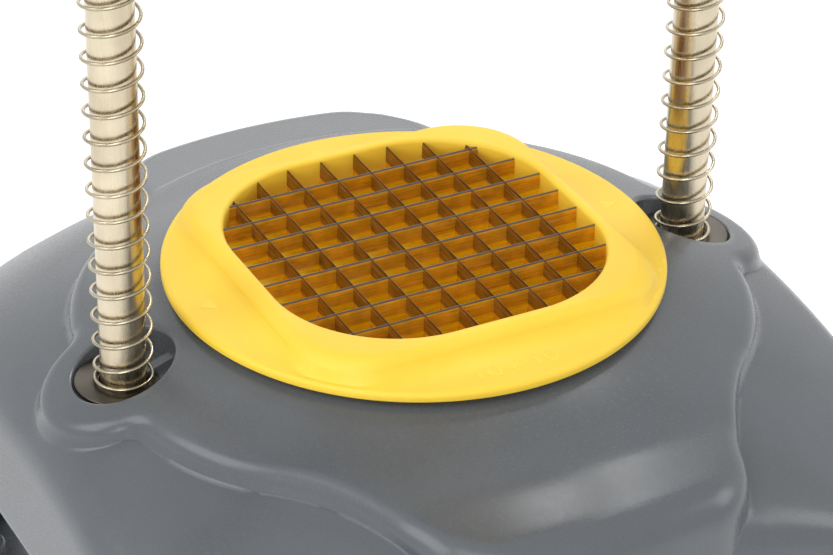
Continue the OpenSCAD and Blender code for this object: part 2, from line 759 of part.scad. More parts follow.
module pusher_backplate() {
    color("silver") difference() {
        translate([0, 0, backplate_z]) linear_extrude(backplate_t)
            rounded_square(backplate_half, backplate_corner_r);
        at_corners(screw_at) translate([0, 0, backplate_z - eps])
            cylinder(h = backplate_t + 2 * eps, r = m5_r + screw_gap);
    }
}

module pusher_screws() {
    color("silver") at_corners(screw_at) {
        translate([0, 0, floor_z]) difference() {
            cylinder(h = m5_head_h, r = m5_head_r);
            translate([0, 0, m5_head_h / 2]) cylinder(h = m5_head_h, r = m5_r, $fn = 6);
        }
        translate([0, 0, pusher_z + tap_end]) cylinder(h = floor_z - pusher_z - tap_end + eps, r = m5_r);
    }
}

module handle_stud(side) {
    color("silver") translate([side * stud_x, 0, stud_z]) rotate([0, side * 90, 0])
        cylinder(h = grip_x - stud_short - stud_x, r = stud_r);
}

module handle_set_screws() {
    below_face = 1;
    socket = 2.5;
    len = ear_wall - below_face;
    color("silver") for (side = [-1, 1])
        translate([side * set_screw_x, 0, stud_z + stud_r + snug]) difference() {
            cylinder(h = len, r = m5_r);
            translate([0, 0, len - socket]) cylinder(h = socket + eps, r = m5_r / 2, $fn = 6);
        }
}

// A grip that swells towards its middle and is waisted at both ends
module grip(side) {
    collar_r = ear_r + eps;
    collar_w = 2.8;
    neck_r = collar_r - 1.2;
    neck_w = 4;
    fullness = 0.8;
    swell = [for (i = [0:16]) let (s = i / 16)
        [neck_r + (grip_r - neck_r) * pow(sin(180 * s), fullness), neck_w + s * (grip_len - 2 * neck_w)]];
    color([0.16, 0.17, 0.18]) translate([side * ear_x, 0, stud_z]) rotate([0, side * 90, 0]) rotate_extrude()
        polygon(concat([[stud_r + snug, 0], [collar_r, 0], [collar_r, collar_w]], swell,
                       [[collar_r, grip_len - collar_w], [collar_r, grip_len], [stud_r + snug, grip_len]]));
}

module grip_caps() {
    edge = grip_cap_w / 2;
    plug = stud_short - 0.3;
    color([0.35, 0.38, 0.4]) for (side = [-1, 1])
        translate([side * grip_x, 0, stud_z]) rotate([0, side * 90, 0]) {
            rotate_extrude() {
                square([ear_r - edge, grip_cap_w]);
                square([ear_r, grip_cap_w - edge]);
                translate([ear_r - edge, grip_cap_w - edge]) circle(edge);
            }
            translate([0, 0, -plug]) cylinder(h = plug + edge, r = stud_r - loose);
        }
}

base_shell();
insert_frame();
blades_lengthwise();
blades_crosswise();
guide_rod(-1);  // guide_rod_left
guide_rod(1);  // guide_rod_right
rod_washers();
rod_bolts();
spring_seats();
spring(-1);  // spring_left
spring(1);  // spring_right
stop_bumpers();
rod_caps();
cap_screws();
foot(-1, -1);  // foot_front_left
foot(1, -1);  // foot_front_right
foot(-1, 1);  // foot_rear_left
foot(1, 1);  // foot_rear_right
foot_screws();
crosshead();
crosshead_cover();
cover_screws();
bush(-1, false);  // bush_lower_left
bush(1, false);  // bush_lower_right
bush(-1, true);  // bush_upper_left
bush(1, true);  // bush_upper_right
spring_cups();
pusher_block();
pusher_backplate();
pusher_screws();
handle_stud(-1);  // handle_stud_left
handle_stud(1);  // handle_stud_right
handle_set_screws();
grip(-1);  // grip_left
grip(1);  // grip_right
grip_caps();
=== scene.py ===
import json
from math import acos, asin, atan2, cos, degrees, dist, hypot, pi, radians, sin, sqrt, tan

import bmesh
import bpy
from mathutils import Matrix, Vector

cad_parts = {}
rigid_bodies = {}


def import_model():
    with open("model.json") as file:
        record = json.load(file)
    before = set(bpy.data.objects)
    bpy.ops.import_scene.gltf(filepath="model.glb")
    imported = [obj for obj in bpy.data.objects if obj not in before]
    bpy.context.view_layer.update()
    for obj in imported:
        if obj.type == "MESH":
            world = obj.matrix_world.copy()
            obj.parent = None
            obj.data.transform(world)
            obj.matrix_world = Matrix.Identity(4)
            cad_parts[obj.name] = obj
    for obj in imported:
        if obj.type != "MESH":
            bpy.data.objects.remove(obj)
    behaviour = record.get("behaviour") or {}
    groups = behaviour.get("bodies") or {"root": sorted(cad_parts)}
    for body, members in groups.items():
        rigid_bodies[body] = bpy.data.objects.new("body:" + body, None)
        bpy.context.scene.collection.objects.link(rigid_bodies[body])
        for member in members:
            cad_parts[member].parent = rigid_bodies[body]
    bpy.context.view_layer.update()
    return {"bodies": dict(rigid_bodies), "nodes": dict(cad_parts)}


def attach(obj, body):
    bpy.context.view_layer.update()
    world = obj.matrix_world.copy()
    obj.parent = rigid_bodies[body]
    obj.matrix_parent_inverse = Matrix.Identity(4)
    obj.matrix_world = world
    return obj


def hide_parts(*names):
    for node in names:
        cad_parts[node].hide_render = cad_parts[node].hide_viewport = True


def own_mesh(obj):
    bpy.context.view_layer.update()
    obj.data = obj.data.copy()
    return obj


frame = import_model()

mm = 0.001
carriageBody = next(word for word in frame["bodies"] if "carriage" in word)
baseBody = next(word for word in frame["bodies"] if word != carriageBody)
sides = ((-1, "Left"), (1, "Right"))
corners = [(x, y) for x in (-1, 1) for y in (-1, 1)]
rods = {"spacing": 82.75, "radius": 6.0, "bottom": 98.0, "top": 368.3, "chamfer": 0.8}


# ---- making and finishing pieces ----

def blend01(value, low, high):
    t = min(1.0, max(0.0, (value - low) / (high - low)))
    return t * t * (3 - 2 * t)


def between(a, b, share):
    # The point at that share of the way from a to b
    return tuple(p + (q - p) * share for p, q in zip(a, b))


def lengthOf(points):
    return sum(dist(a, b) for a, b in zip(points, points[1:]))


def trace(points, length):
    # Point at that length along a line of points
    for a, b in zip(points, points[1:]):
        step = dist(a, b)
        if length <= step:
            return between(a, b, length / step if step else 0)
        length -= step
    return points[-1]


def evened(points, count):
    # The same line with count points, evenly spaced
    total = lengthOf(points)
    return [trace(points, total * k / (count - 1)) for k in range(count)]


def curved(start, corner, end, steps, weight=0.75):
    # Points of a round corner that leaves start and reaches end along the lines through corner
    out = []
    for k in range(steps + 1):
        t = k / steps
        a, b, c = (1 - t) ** 2, 2 * weight * t * (1 - t), t * t
        out.append(tuple((a * s + b * m + c * e) / (a + b + c) for s, m, e in zip(start, corner, end)))
    return out


def arc(centre, radius, start, end, steps):
    turns = [start + (end - start) * k / steps for k in range(steps + 1)]
    return [(centre[0] + radius * cos(t), centre[1] + radius * sin(t)) for t in turns]


def bends(steps):
    # How far the points round an edge lie from its side and from its end, as shares of its radius
    return [(1 - y, 1 - x) for x, y in arc((0, 0), 1, 0, pi / 2, steps)]


def startRing(bm, row):
    ring = bmesh.ops.create_circle(bm, segments=len(row), radius=1)["verts"]
    for v, place in zip(ring, row):
        v.co = place
    return ring


def pairsOf(ring):
    return zip(ring, ring[1:] + ring[:1])


def grow(bm, ring, row, closed=True):
    # Extrudes a row of edges and sets where its new points go
    pairs = pairsOf(ring) if closed else zip(ring, ring[1:])
    made = bmesh.ops.extrude_edge_only(bm, edges=[bm.edges.get(pair) for pair in pairs])["geom"]
    fresh = {g for g in made if isinstance(g, bmesh.types.BMVert)}
    out = []
    for v, place in zip(ring, row):
        out.append(next(e.other_vert(v) for e in v.link_edges if e.other_vert(v) in fresh))
        out[-1].co = place
    return out


def growRows(bm, rows, ring=None):
    # Grows row after row, and gives the first ring and the last
    if ring is None:
        ring, rows = startRing(bm, rows[0]), rows[1:]
    first = ring
    for row in rows:
        ring = grow(bm, ring, row)
    return first, ring


def solid(bm, rows):
    # A closed solid whose skin runs through those rings of points
    for ring in growRows(bm, rows):
        bmesh.ops.contextual_create(bm, geom=ring)


def pad(bm, outline, low, high, lowRound=0.4, highRound=0.4):
    # A plate with round edges; outline gives its points for a distance drawn in
    levels = [(lowRound * side, low + lowRound * end) for side, end in bends(4)]
    levels += [(highRound * end, high - highRound * side) for side, end in bends(4)]
    solid(bm, [[(x, y, z) for x, y in outline(inset)] for inset, z in levels])


def lathe(bm, profile, steps, at=(0, 0, 0), axis="Z"):
    # Spins a line of (radius, height) points into a round solid
    before = set(bm.verts)
    line = [bm.verts.new((radius, 0, height)) for radius, height in profile]
    edges = [bm.edges.new(pair) for pair in zip(line, line[1:])]
    bmesh.ops.spin(bm, geom=line + edges, cent=(0, 0, 0), axis=(0, 0, 1), angle=2 * pi, steps=steps,
                   use_merge=True)
    for v in set(bm.verts) - before:
        x, y, z = v.co
        if axis != "Z":
            x, z = (z, -x) if axis == "X" else (-z, x)
        v.co = Vector((x, y, z)) + Vector(at)


def slab(bm, outline, low, high):
    # A flat plate with that outline
    face = bm.faces.new([bm.verts.new((x, y, low)) for x, y in outline])
    made = bmesh.ops.extrude_face_region(bm, geom=[face])["geom"]
    top = [g for g in made if isinstance(g, bmesh.types.BMVert)]
    bmesh.ops.translate(bm, vec=(0, 0, high - low), verts=top)
    return list(face.verts) + top


def atRods(section):
    return [(section, (side * rods["spacing"], 0, 0), "Z") for side, _ in sides]


def toMesh(bm, name="part"):
    mesh = bpy.data.meshes.new(name)
    bm.to_mesh(mesh)
    bm.free()
    return mesh


def placed(name, data):
    made = bpy.data.objects.new(name, data)
    bpy.context.scene.collection.objects.link(made)
    return made


def spaced(word):
    # guideRodLeft as guide_rod_left
    return "".join("_" + c.lower() if c.isupper() else c for c in word)


def finishPiece(name, bm, material, body=baseBody, node=None, slot=None, angle=38):
    # The piece takes the place of the CAD node with the same words in its name, or of node. Its slot, slot or
    # else the material's name without the .001 that Blender adds where the CAD's own has that name, is worked
    # out but not kept
    bmesh.ops.remove_doubles(bm, verts=bm.verts[:], dist=0.002)
    bmesh.ops.dissolve_degenerate(bm, edges=bm.edges[:], dist=0.0005)
    bmesh.ops.recalc_face_normals(bm, faces=bm.faces[:])
    bmesh.ops.scale(bm, vec=(mm, mm, mm), verts=bm.verts[:])
    mesh = toMesh(bm, name)
    mesh.polygons.foreach_set("use_smooth", [True] * len(mesh.polygons))
    mesh.set_sharp_from_angle(angle=radians(angle))
    mesh.materials.append(material)
    piece = placed(name, mesh)
    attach(piece, body)
    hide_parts(node or spaced(name))
    slot or spaced(material.name.split(".")[0])
    return piece


def turned(name, parts, material, body=baseBody, slot=None, steps=64):
    # parts are (section, place, axis)
    bm = bmesh.new()
    for section, at, axis in parts:
        lathe(bm, section, steps, at, axis)
    finishPiece(name, bm, material, body, slot=slot)


def allRound(quarter, front=None):
    # Mirrors one quarter's points, from +X to +Y, into a ring; front gives the -Y half its own points
    front = front or quarter
    return (quarter + [(-x, y, z) for x, y, z in quarter[-2::-1]] + [(-x, -y, z) for x, y, z in front[1:]]
            + [(x, -y, z) for x, y, z in front[-2:0:-1]])


def rounded(inner, outer, low, high, corner=0.4, steps=3):
    # The section of a ring with round corners, or of a disc where inner is 0
    line = [] if inner else [(0, low)]
    places = [(outer - corner, low + corner), (outer - corner, high - corner)]
    if inner:
        places += [(inner + corner, high - corner), (inner + corner, low + corner)]
    for k, place in enumerate(places):
        line += arc(place, corner, (k - 1) * pi / 2, k * pi / 2, steps)
    return line + (line[:1] if inner else [(0, high)])


def disc(radius, low, high):
    # The section of a plain disc
    return [(0, low), (radius, low), (radius, high), (0, high)]


def roundRow(at, reach, z, corner=0, count=48):
    # A ring of points: a circle, or a hexagon where corner is given
    out = []
    for k in range(count):
        turn = 2 * pi * k / count
        side = corner * cos(pi / 6) / cos(turn % (pi / 3) - pi / 6)
        r = min(reach, side) if corner else reach
        out.append((at[0] + r * cos(turn), at[1] + r * sin(turn), z))
    return out


def carve(bm, tool):
    # Takes the tool's shape out of the piece
    made = []
    for part in (bm, tool):
        bmesh.ops.remove_doubles(part, verts=part.verts[:], dist=0.002)
        bmesh.ops.recalc_face_normals(part, faces=part.faces[:])
        made.append(placed("part", toMesh(part)))
    cut = made[0].modifiers.new("cut", "BOOLEAN")
    cut.operation, cut.solver, cut.object = "DIFFERENCE", "EXACT", made[1]
    bpy.context.view_layer.update()
    got = bpy.data.meshes.new_from_object(made[0].evaluated_get(bpy.context.evaluated_depsgraph_get()))
    out = bmesh.new()
    out.from_mesh(got)
    for mesh in (made[0].data, made[1].data, got):
        bpy.data.meshes.remove(mesh)
    return out


def joinIn(bm, other):
    # Adds another shape to the piece
    mesh = toMesh(other)
    bm.from_mesh(mesh)
    bpy.data.meshes.remove(mesh)


def squarePoint(half, radius, angle):
    # Where a ray from the middle leaves a square with round corners
    dx, dy = cos(angle), sin(angle)
    ax, ay = abs(dx), abs(dy)
    c = half - radius
    for near, far in ((ax, ay), (ay, ax)):
        if near > 0 and half * far / near <= c:
            return dx * half / near, dy * half / near
    along = (ax + ay) * c
    t = along + sqrt(along * along - 2 * c * c + radius * radius)
    return dx * t, dy * t


# ---- materials ----

def newMaterial(name, roughness, metallic=0.0, **sockets):
    made = bpy.data.materials.new(name)
    made.use_nodes = True
    shader = made.node_tree.nodes["Principled BSDF"]
    for key, value in dict(sockets, Roughness=roughness, Metallic=metallic).items():
        shader.inputs[key.replace("_", " ")].default_value = value
    return made, made.node_tree, shader.inputs


def linear(rgb, share=1):
    # A colour written as 0-255 values, as the shader wants it
    return tuple(((c / 255 + 0.055) / 1.055) ** 2.4 for c in (part * share for part in rgb)) + (1,)


def node(tree, kind, **settings):
    made = tree.nodes.new(kind)
    for key, value in settings.items():
        if hasattr(made, key):
            setattr(made, key, value)
        else:
            feed(value, made.inputs[key.replace("_", " ")])
    return made


def feed(value, socket):
    # Sets a number or a colour, or links what another node gives
    if isinstance(value, bpy.types.NodeSocket):
        socket.id_data.links.new(value, socket)
    else:
        socket.default_value = value


def maths(tree, operation, *values, **settings):
    made = node(tree, "ShaderNodeMath", operation=operation, **settings)
    for value, socket in zip(values, made.inputs):
        feed(value, socket)
    return made.outputs[0]


def places(tree, stretch=(1, 1, 1)):
    coords = node(tree, "ShaderNodeTexCoord")
    return node(tree, "ShaderNodeMapping", Scale=stretch, Vector=coords.outputs["Object"]).outputs["Vector"]


def apart(tree):
    # The place's X, Y and Z
    return node(tree, "ShaderNodeSeparateXYZ", Vector=places(tree)).outputs


def speckle(tree, where, size, detail=3.0, rough=0.5):
    # Noise whose grains are about size millimetres across
    return node(tree, "ShaderNodeTexNoise", Scale=1 / (size * mm), Detail=detail, Roughness=rough,
                Vector=where).outputs["Fac"]


def spread(tree, value, low, high, toLow=0, toHigh=1):
    return node(tree, "ShaderNodeMapRange", From_Min=low, From_Max=high, To_Min=toLow, To_Max=toHigh,
                Value=value).outputs["Result"]


def patchy(tree, size, detail=2):
    # Soft patches, 0 to 1
    return spread(tree, speckle(tree, places(tree), size, detail), 0.35, 0.65)


def mixColours(tree, fac, a, b):
    made = node(tree, "ShaderNodeMix", data_type="RGBA")
    for socket, value in zip((0, 6, 7), (fac, a, b)):
        feed(value, made.inputs[socket])
    return made.outputs[2]


def bumps(tree, sockets, heights):
    # Adds (height, strength, distance in millimetres) bumps one on another
    normal = None
    for height, strength, distance in heights:
        made = node(tree, "ShaderNodeBump", Strength=strength, Distance=distance * mm, Height=height)
        if normal:
            feed(normal, made.inputs["Normal"])
        normal = made.outputs["Normal"]
    feed(normal, sockets["Normal"])


def mouldedPlastic(name, colour, paler, roughness, grain=0.35, wear=0.35, **settings):
    # Fine grain, faint patches and paler edges, which are partly edge wear and partly a painted highlight on
    # convex edges
    made, tree, sockets = newMaterial(name, roughness, **settings)
    where = places(tree)
    fine = speckle(tree, where, 0.9, 2)
    plain = mixColours(tree, patchy(tree, 26), linear(colour), linear(paler))
    # Paler convex edges: partly wear, partly a painted highlight where edges catch light
    edges = node(tree, "ShaderNodeNewGeometry").outputs["Pointiness"]
    wornAndLitEdge = linear([min(255, c * 1.18 + 8) for c in paler])
    feed(mixColours(tree, spread(tree, edges, 0.52, 0.60, 0, wear), plain, wornAndLitEdge), sockets["Base Color"])
    feed(spread(tree, fine, 0.3, 0.7, roughness - 0.03, roughness + 0.04), sockets["Roughness"])
    bumps(tree, sockets, [(fine, grain, 0.008), (speckle(tree, where, 9, 2), grain * 0.6, 0.05)])
    return made


def brushedSteel(name, colour, darker, roughness, stretch=(1, 1, 1), size=2.0, scratch=0.2):
    made, tree, sockets = newMaterial(name, roughness, 1.0)
    lines = speckle(tree, places(tree, stretch), size, 5, 0.7)
    feed(mixColours(tree, patchy(tree, 14), linear(colour), linear(darker)), sockets["Base Color"])
    feed(spread(tree, lines, 0.3, 0.7, roughness - 0.07, roughness + 0.12), sockets["Roughness"])
    bumps(tree, sockets, [(lines, scratch, 0.015)])
    return made


def paintCreaseHighlight(made, line):
    # A painted highlight: a faint pale line along the crease across the rear nose, standing in for the light
    # its small fillet catches
    tree = made.node_tree
    x, y, _ = apart(tree)
    square = maths(tree, "MULTIPLY", x, x)
    along = maths(tree, "MULTIPLY_ADD", square, line["bend"] / mm, y)
    off = maths(tree, "ABSOLUTE", maths(tree, "SUBTRACT", along, line["place"] * mm))
    width, side = line["half width"] * mm, (line["half length"] * mm) ** 2
    near = spread(tree, off, width, 2 * width, line["strength"], 0)
    amount = maths(tree, "MULTIPLY", near, spread(tree, square, 0.8 * side, side, 1, 0))
    socket = tree.nodes["Principled BSDF"].inputs["Base Color"]
    feed(mixColours(tree, amount, socket.links[0].from_socket, linear(line["colour"])), socket)


greyPlastic = mouldedPlastic("greyPlastic", (84, 88, 92), (88, 92, 97), 0.25, 0.12)
# Painted highlight along the rear nose's crease, mixed into the grey's colour
paintCreaseHighlight(greyPlastic, {"place": 87.3, "bend": 0.0055, "half width": 0.14, "half length": 42.0,
                         "strength": 0.5, "colour": (190, 190, 194)})
darkPlastic = mouldedPlastic("darkPlastic", (62, 66, 70), (70, 74, 78), 0.42)
yellowPlastic = mouldedPlastic("yellowPlastic", (243, 203, 56), (245, 207, 64), 0.52, 0.12, 0.2,
                               Subsurface_Weight=0.1, Subsurface_Radius=(1, 0.6, 0.15),
                               Subsurface_Scale=1.5 * mm)
rubber = mouldedPlastic("rubber", (34, 34, 36), (44, 44, 46), 0.7, 0.6, 0.2)
gripPlastic = mouldedPlastic("gripPlastic", (38, 40, 43), (48, 50, 53), 0.55, 0.7, 0.3)
bushPlastic = mouldedPlastic("bushPlastic", (226, 220, 202), (236, 231, 216), 0.35, 0.2, 0.2)
rodSteel = brushedSteel("rodSteel", (210, 198, 174), (192, 180, 156), 0.24, (1, 1, 0.05), 2.0, 0.12)
springSteel = brushedSteel("springSteel", (186, 176, 154), (164, 154, 132), 0.26, (1, 1, 1), 1.5, 0.15)
plateSteel = brushedSteel("plateSteel", (190, 191, 192), (172, 173, 175), 0.34, (0.05, 1, 1), 1.2)
fastenerSteel = brushedSteel("fastenerSteel", (156, 157, 159), (134, 135, 137), 0.28)
seatSteel = brushedSteel("seatSteel", (98, 93, 84), (80, 76, 68), 0.36)


# ---- blades, which keep the CAD's shape ----

# Flank colours are a painted reflection of the insert's yellow and the low colours a painted yellow glow; the
# crosswise blades take darker, browner copies of the same steel, with a browner edge, as painted shade
blade = {
    "along": {"flank": (230, 164, 30), "low": (255, 212, 12), "edge": (122, 121, 116),
              "stretch": (0.04, 1, 1)},
    "across": {"flank": (150, 100, 26), "low": (236, 172, 20), "edge": (112, 84, 44),
               "stretch": (1, 0.04, 1)},
    "streak": (250, 224, 170), "dark": 0.86, "darker": 0.72, "painted glow top": 145.7, "painted glow bottom": 144.9,
    "edge from": 149.56,
}


def bladeSteel(name, colours):
    # Ground flanks coloured with a painted reflection of the insert's yellow, a brighter painted yellow glow
    # low down, and a dark cutting edge
    made, tree, sockets = newMaterial(name, 0.34, 0.3)
    flank = colours["flank"]
    lines = speckle(tree, places(tree, colours["stretch"]), 0.7, 5, 0.75)
    height = apart(tree)["Z"]
    edge = spread(tree, height, (blade["edge from"] - 0.1) * mm, blade["edge from"] * mm)
    # Painted yellow glow on the lower part of each flank
    glow = spread(tree, height, blade["painted glow top"] * mm, blade["painted glow bottom"] * mm)
    colour = mixColours(tree, patchy(tree, 5, 3), linear(flank), linear(flank, blade["dark"]))
    for amount, other in ((spread(tree, lines, 0.34, 0.48, 0.3, 0), linear(flank, blade["darker"])),
                          (glow, linear(colours["low"])),
                          (spread(tree, lines, 0.56, 0.72, 0, 0.4), linear(blade["streak"])),
                          (edge, linear(colours["edge"]))):
        colour = mixColours(tree, amount, colour, other)
    feed(colour, sockets["Base Color"])
    feed(spread(tree, edge, 0, 1, 0.4, 0.8), sockets["Metallic"])
    feed(spread(tree, lines, 0.3, 0.7, 0.24, 0.34), sockets["Roughness"])
    bumps(tree, sockets, [(lines, 0.15, 0.012)])
    return made


for name, material in (("blades_lengthwise", bladeSteel("bladeSteelAlong", blade["along"])),
                       ("blades_crosswise", bladeSteel("bladeSteelAcross", blade["across"]))):
    mesh = frame["nodes"][name].data
    mesh.materials.clear()
    mesh.materials.append(material)
print("materials made")


# ---- base ----

base = {
    "deck radius": 240.0, "deck crown": 149.2, "body radius": 220.0, "body crown": 146.2,
    "corner centre": 72.0, "foot corner radius": 47.0, "shoulder corner radius": 37.0,
    "shoulder height": 118.0, "shoulder middle": 113.0, "shoulder round": 16.0, "wall slope": 4.8,
    "arch height": 84.0, "arch half width": 72.0, "arch corner radius": 26.0, "leg bottom": 3.0,
    "wall": 3.5, "edge round": 0.9, "lobe roll": 4.5, "wall lean": 1.6, "foot round": 3.4,
    "front nose": {"crease": 89.0, "height": 132.1, "fall": 8.0, "crown radius": 320.0, "softness": 0.8,
                   "roll": 10.0},
    "rear nose": {"crease": 87.3, "height": 132.76, "fall": 10.0, "crown radius": 600.0, "softness": 0.1,
                  "roll": 12.0},
    "nose side": 40.0, "nose side fall": 0.03, "nose from": 57.0, "nose to": 70.0, "nose start": -29.0,
    "nose blend": 15.0, "nose half": 41.3, "nose corner radius": 22.0, "nose end radius": 165.0,
    "nose reach": 113.6, "lobe radius": 21.5, "waist radius": 8.0, "belly centre": (21.75, 10.8),
    "belly radius": 66.0, "sweep radius": 81.0,
    "seat radius": 57.9, "seat height": 142.1, "throat half": 49.1, "throat radius": 36.75,
    "throat bottom": 106.0, "throat wall": 3.0, "throat edge": 0.7,
    "pocket radius": 13.1, "pocket floor": 128.0, "pocket edge": 1.3, "rod hole": 6.6,
    "boss radius": 17.0, "boss bottom": 92.0, "boss top": 127.4, "rib": 3.0, "foot height": 7.0,
    "foot plate": 4.0, "foot plate radius": 44.6, "foot place": 92.0, "foot boss": (6.0, 20.0),
    "arch columns": 34, "arch corner columns": 14, "leg columns": 38, "leg rows": 9,
    "leg edge radius": 40.0,
}


def circlesMeet(a, ra, b, rb):
    # On the right-hand side going from a to b
    dx, dy = b[0] - a[0], b[1] - a[1]
    d = hypot(dx, dy)
    ux, uy = dx / d, dy / d
    along = (ra * ra - rb * rb + d * d) / (2 * d)
    side = sqrt(ra * ra - along * along)
    return a[0] + along * ux + side * uy, a[1] + along * uy - side * ux


def deckArcs():
    # The deck's outline in one quarter: (centre, radius, outward sign, last polar angle)
    b = base
    lobeR, waistR, bellyR, sweepR, cornerR, endR = (
        b[word + " radius"] for word in ("lobe", "waist", "belly", "sweep", "nose corner", "nose end"))
    lobe, belly, end = (rods["spacing"], 0.0), b["belly centre"], (0.0, b["nose reach"] - endR)
    sweepX = b["nose half"] + sweepR
    sweep = (sweepX, belly[1] + sqrt((bellyR + sweepR) ** 2 - (sweepX - belly[0]) ** 2))
    waist = circlesMeet(lobe, lobeR + waistR, belly, bellyR + waistR)
    corner = circlesMeet(sweep, sweepR + cornerR, end, endR - cornerR)
    joints = [between(p, q, r / dist(p, q)) for p, q, r in (
        (lobe, waist, lobeR), (belly, waist, bellyR), (belly, sweep, bellyR), (corner, sweep, cornerR),
        (end, corner, endR))]
    shapes = [(lobe, lobeR, 1), (waist, waistR, -1), (belly, bellyR, 1), (sweep, sweepR, -1),
              (corner, cornerR, 1), (end, endR, 1)]
    return [shape + (atan2(y, x),) for shape, (x, y) in zip(shapes, joints + [(0.0, 1.0)])]


outlineArcs = deckArcs()


def outlinePoint(angle):
    # A point of the deck's outline and its outward direction
    dx, dy = cos(angle), sin(angle)
    for (cx, cy), r, sign, high in outlineArcs:
        if angle <= high + 1e-9:
            along = dx * cx + dy * cy
            t = along + sign * sqrt(max(0.0, along * along - cx * cx - cy * cy + r * r))
            x, y = dx * t, dy * t
            return x, y, sign * (x - cx) / r, sign * (y - cy) / r


def domeHeight(radius, crown, reach):
    return crown - radius + sqrt(radius * radius - reach * reach)


def deckHeight(x, y, nose):
    # The dome, or the nose's own top where that is higher, with a soft crease between them
    b = base
    dome = domeHeight(b["deck radius"], b["deck crown"], hypot(x, y))
    past = abs(y) - nose["crease"]
    if past < b["nose start"]:
        return dome
    fall = radians(nose["fall"])
    crown = nose["crown radius"] - sqrt(nose["crown radius"] ** 2 - x * x)
    beside = max(0.0, abs(x) - b["nose side"])
    top = nose["height"] - tan(fall) * past - crown / cos(fall) - b["nose side fall"] * beside * beside
    soft = nose["softness"] * min(1, (past - b["nose start"]) / b["nose blend"])
    return (dome + top + sqrt((dome - top) ** 2 + soft * soft)) / 2


def cornerRadius(z):
    low, high = base["foot corner radius"], base["shoulder corner radius"]
    return low - (low - high) * z / base["shoulder height"]


shoulderReach = cornerRadius(base["shoulder middle"])
legStart, legSteps = asin(base["edge round"] / base["leg edge radius"]), base["leg columns"]
legTurns = [legStart + (pi / 2 - 2 * legStart) * k / legSteps for k in range(legSteps + 1)]


def baseColumns():
    # Each upright line of the base's skin in the quarter from +X to +Y: (the centre that its wall goes round,
    # outward direction, lowest height, way that its lower edge faces)
    b = base
    f, c = b["edge round"], b["corner centre"]
    r, half = b["arch corner radius"] + f, b["arch half width"] - b["arch corner radius"]
    top, flat, bend = b["arch height"] - b["arch corner radius"], b["arch columns"], b["arch corner columns"]
    side = [((c, half * k / flat), (1.0, 0.0), b["arch height"] + f, (0.0, 0.0, -1.0))
            for k in range(flat + 1)]
    for s, co in ((sin(pi / 2 * k / bend), cos(pi / 2 * k / bend)) for k in range(1, bend)):
        side.append(((c, half + r * s), (1.0, 0.0), top + r * co, (0.0, -s, -co)))
    edges = [(0.0, -1.0, 0.0)] + [(0.0, 0.0, -1.0)] * (len(legTurns) - 2) + [(-1.0, 0.0, 0.0)]
    corner = [((c, c), (cos(turn), sin(turn)), top, edge) for turn, edge in zip(legTurns, edges)]
    swapped = [((y, x), (ny, nx), z, (ey, ex, ez)) for (x, y), (nx, ny), z, (ex, ey, ez) in reversed(side)]
    return side + corner + swapped, len(side)


def bodyCurve(shoulder, normal, inset, reach, zEnd):
    # The lower body's section: dome, round shoulder and wall, as (distance inside the wall's plane, height)
    b = base
    far = hypot(*shoulder)
    lean = (shoulder[0] * normal[0] + shoulder[1] * normal[1]) / far

    def dome(q):
        return domeHeight(b["body radius"] - inset, b["body crown"] - inset, max(0.0, far - q / lean))

    def wall(z):
        return shoulderReach - cornerRadius(z) + inset

    low, high = 80.0, 130.0  # between them the dome meets the wall
    for _ in range(40):
        z = (low + high) / 2
        low, high = (z, high) if dome(wall(z)) > z else (low, z)
    slope = atan2(dome(wall(z) + 4) - z, 4)
    turn = pi / 2 - slope - radians(b["wall slope"])
    tangent = max(2.0, b["shoulder round"] - inset) * tan(turn / 2)
    q = wall(z) + tangent * cos(slope)
    points = []
    while reach > q + 0.6:
        points.append((reach, dome(reach)))
        reach -= 1.2
    z2 = z - tangent
    points += curved((q, dome(q)), (wall(z), z), (wall(z2), z2), 14, cos(turn / 2))
    return points + [(wall(h), h) for h in (z2 + (zEnd - z2) * k / 20 for k in range(1, 21))]


def cutAt(points, q):
    # The rest of a section below the place where it crosses that distance, and that place
    for k, (a, b) in enumerate(zip(points, points[1:])):
        if b[0] <= q <= a[0]:
            t = (a[0] - q) / (a[0] - b[0]) if a[0] > b[0] else 0
            return [(q, a[1] + (b[1] - a[1]) * t)] + points[k + 1:]
    return points if q > points[0][0] else points[-1:]


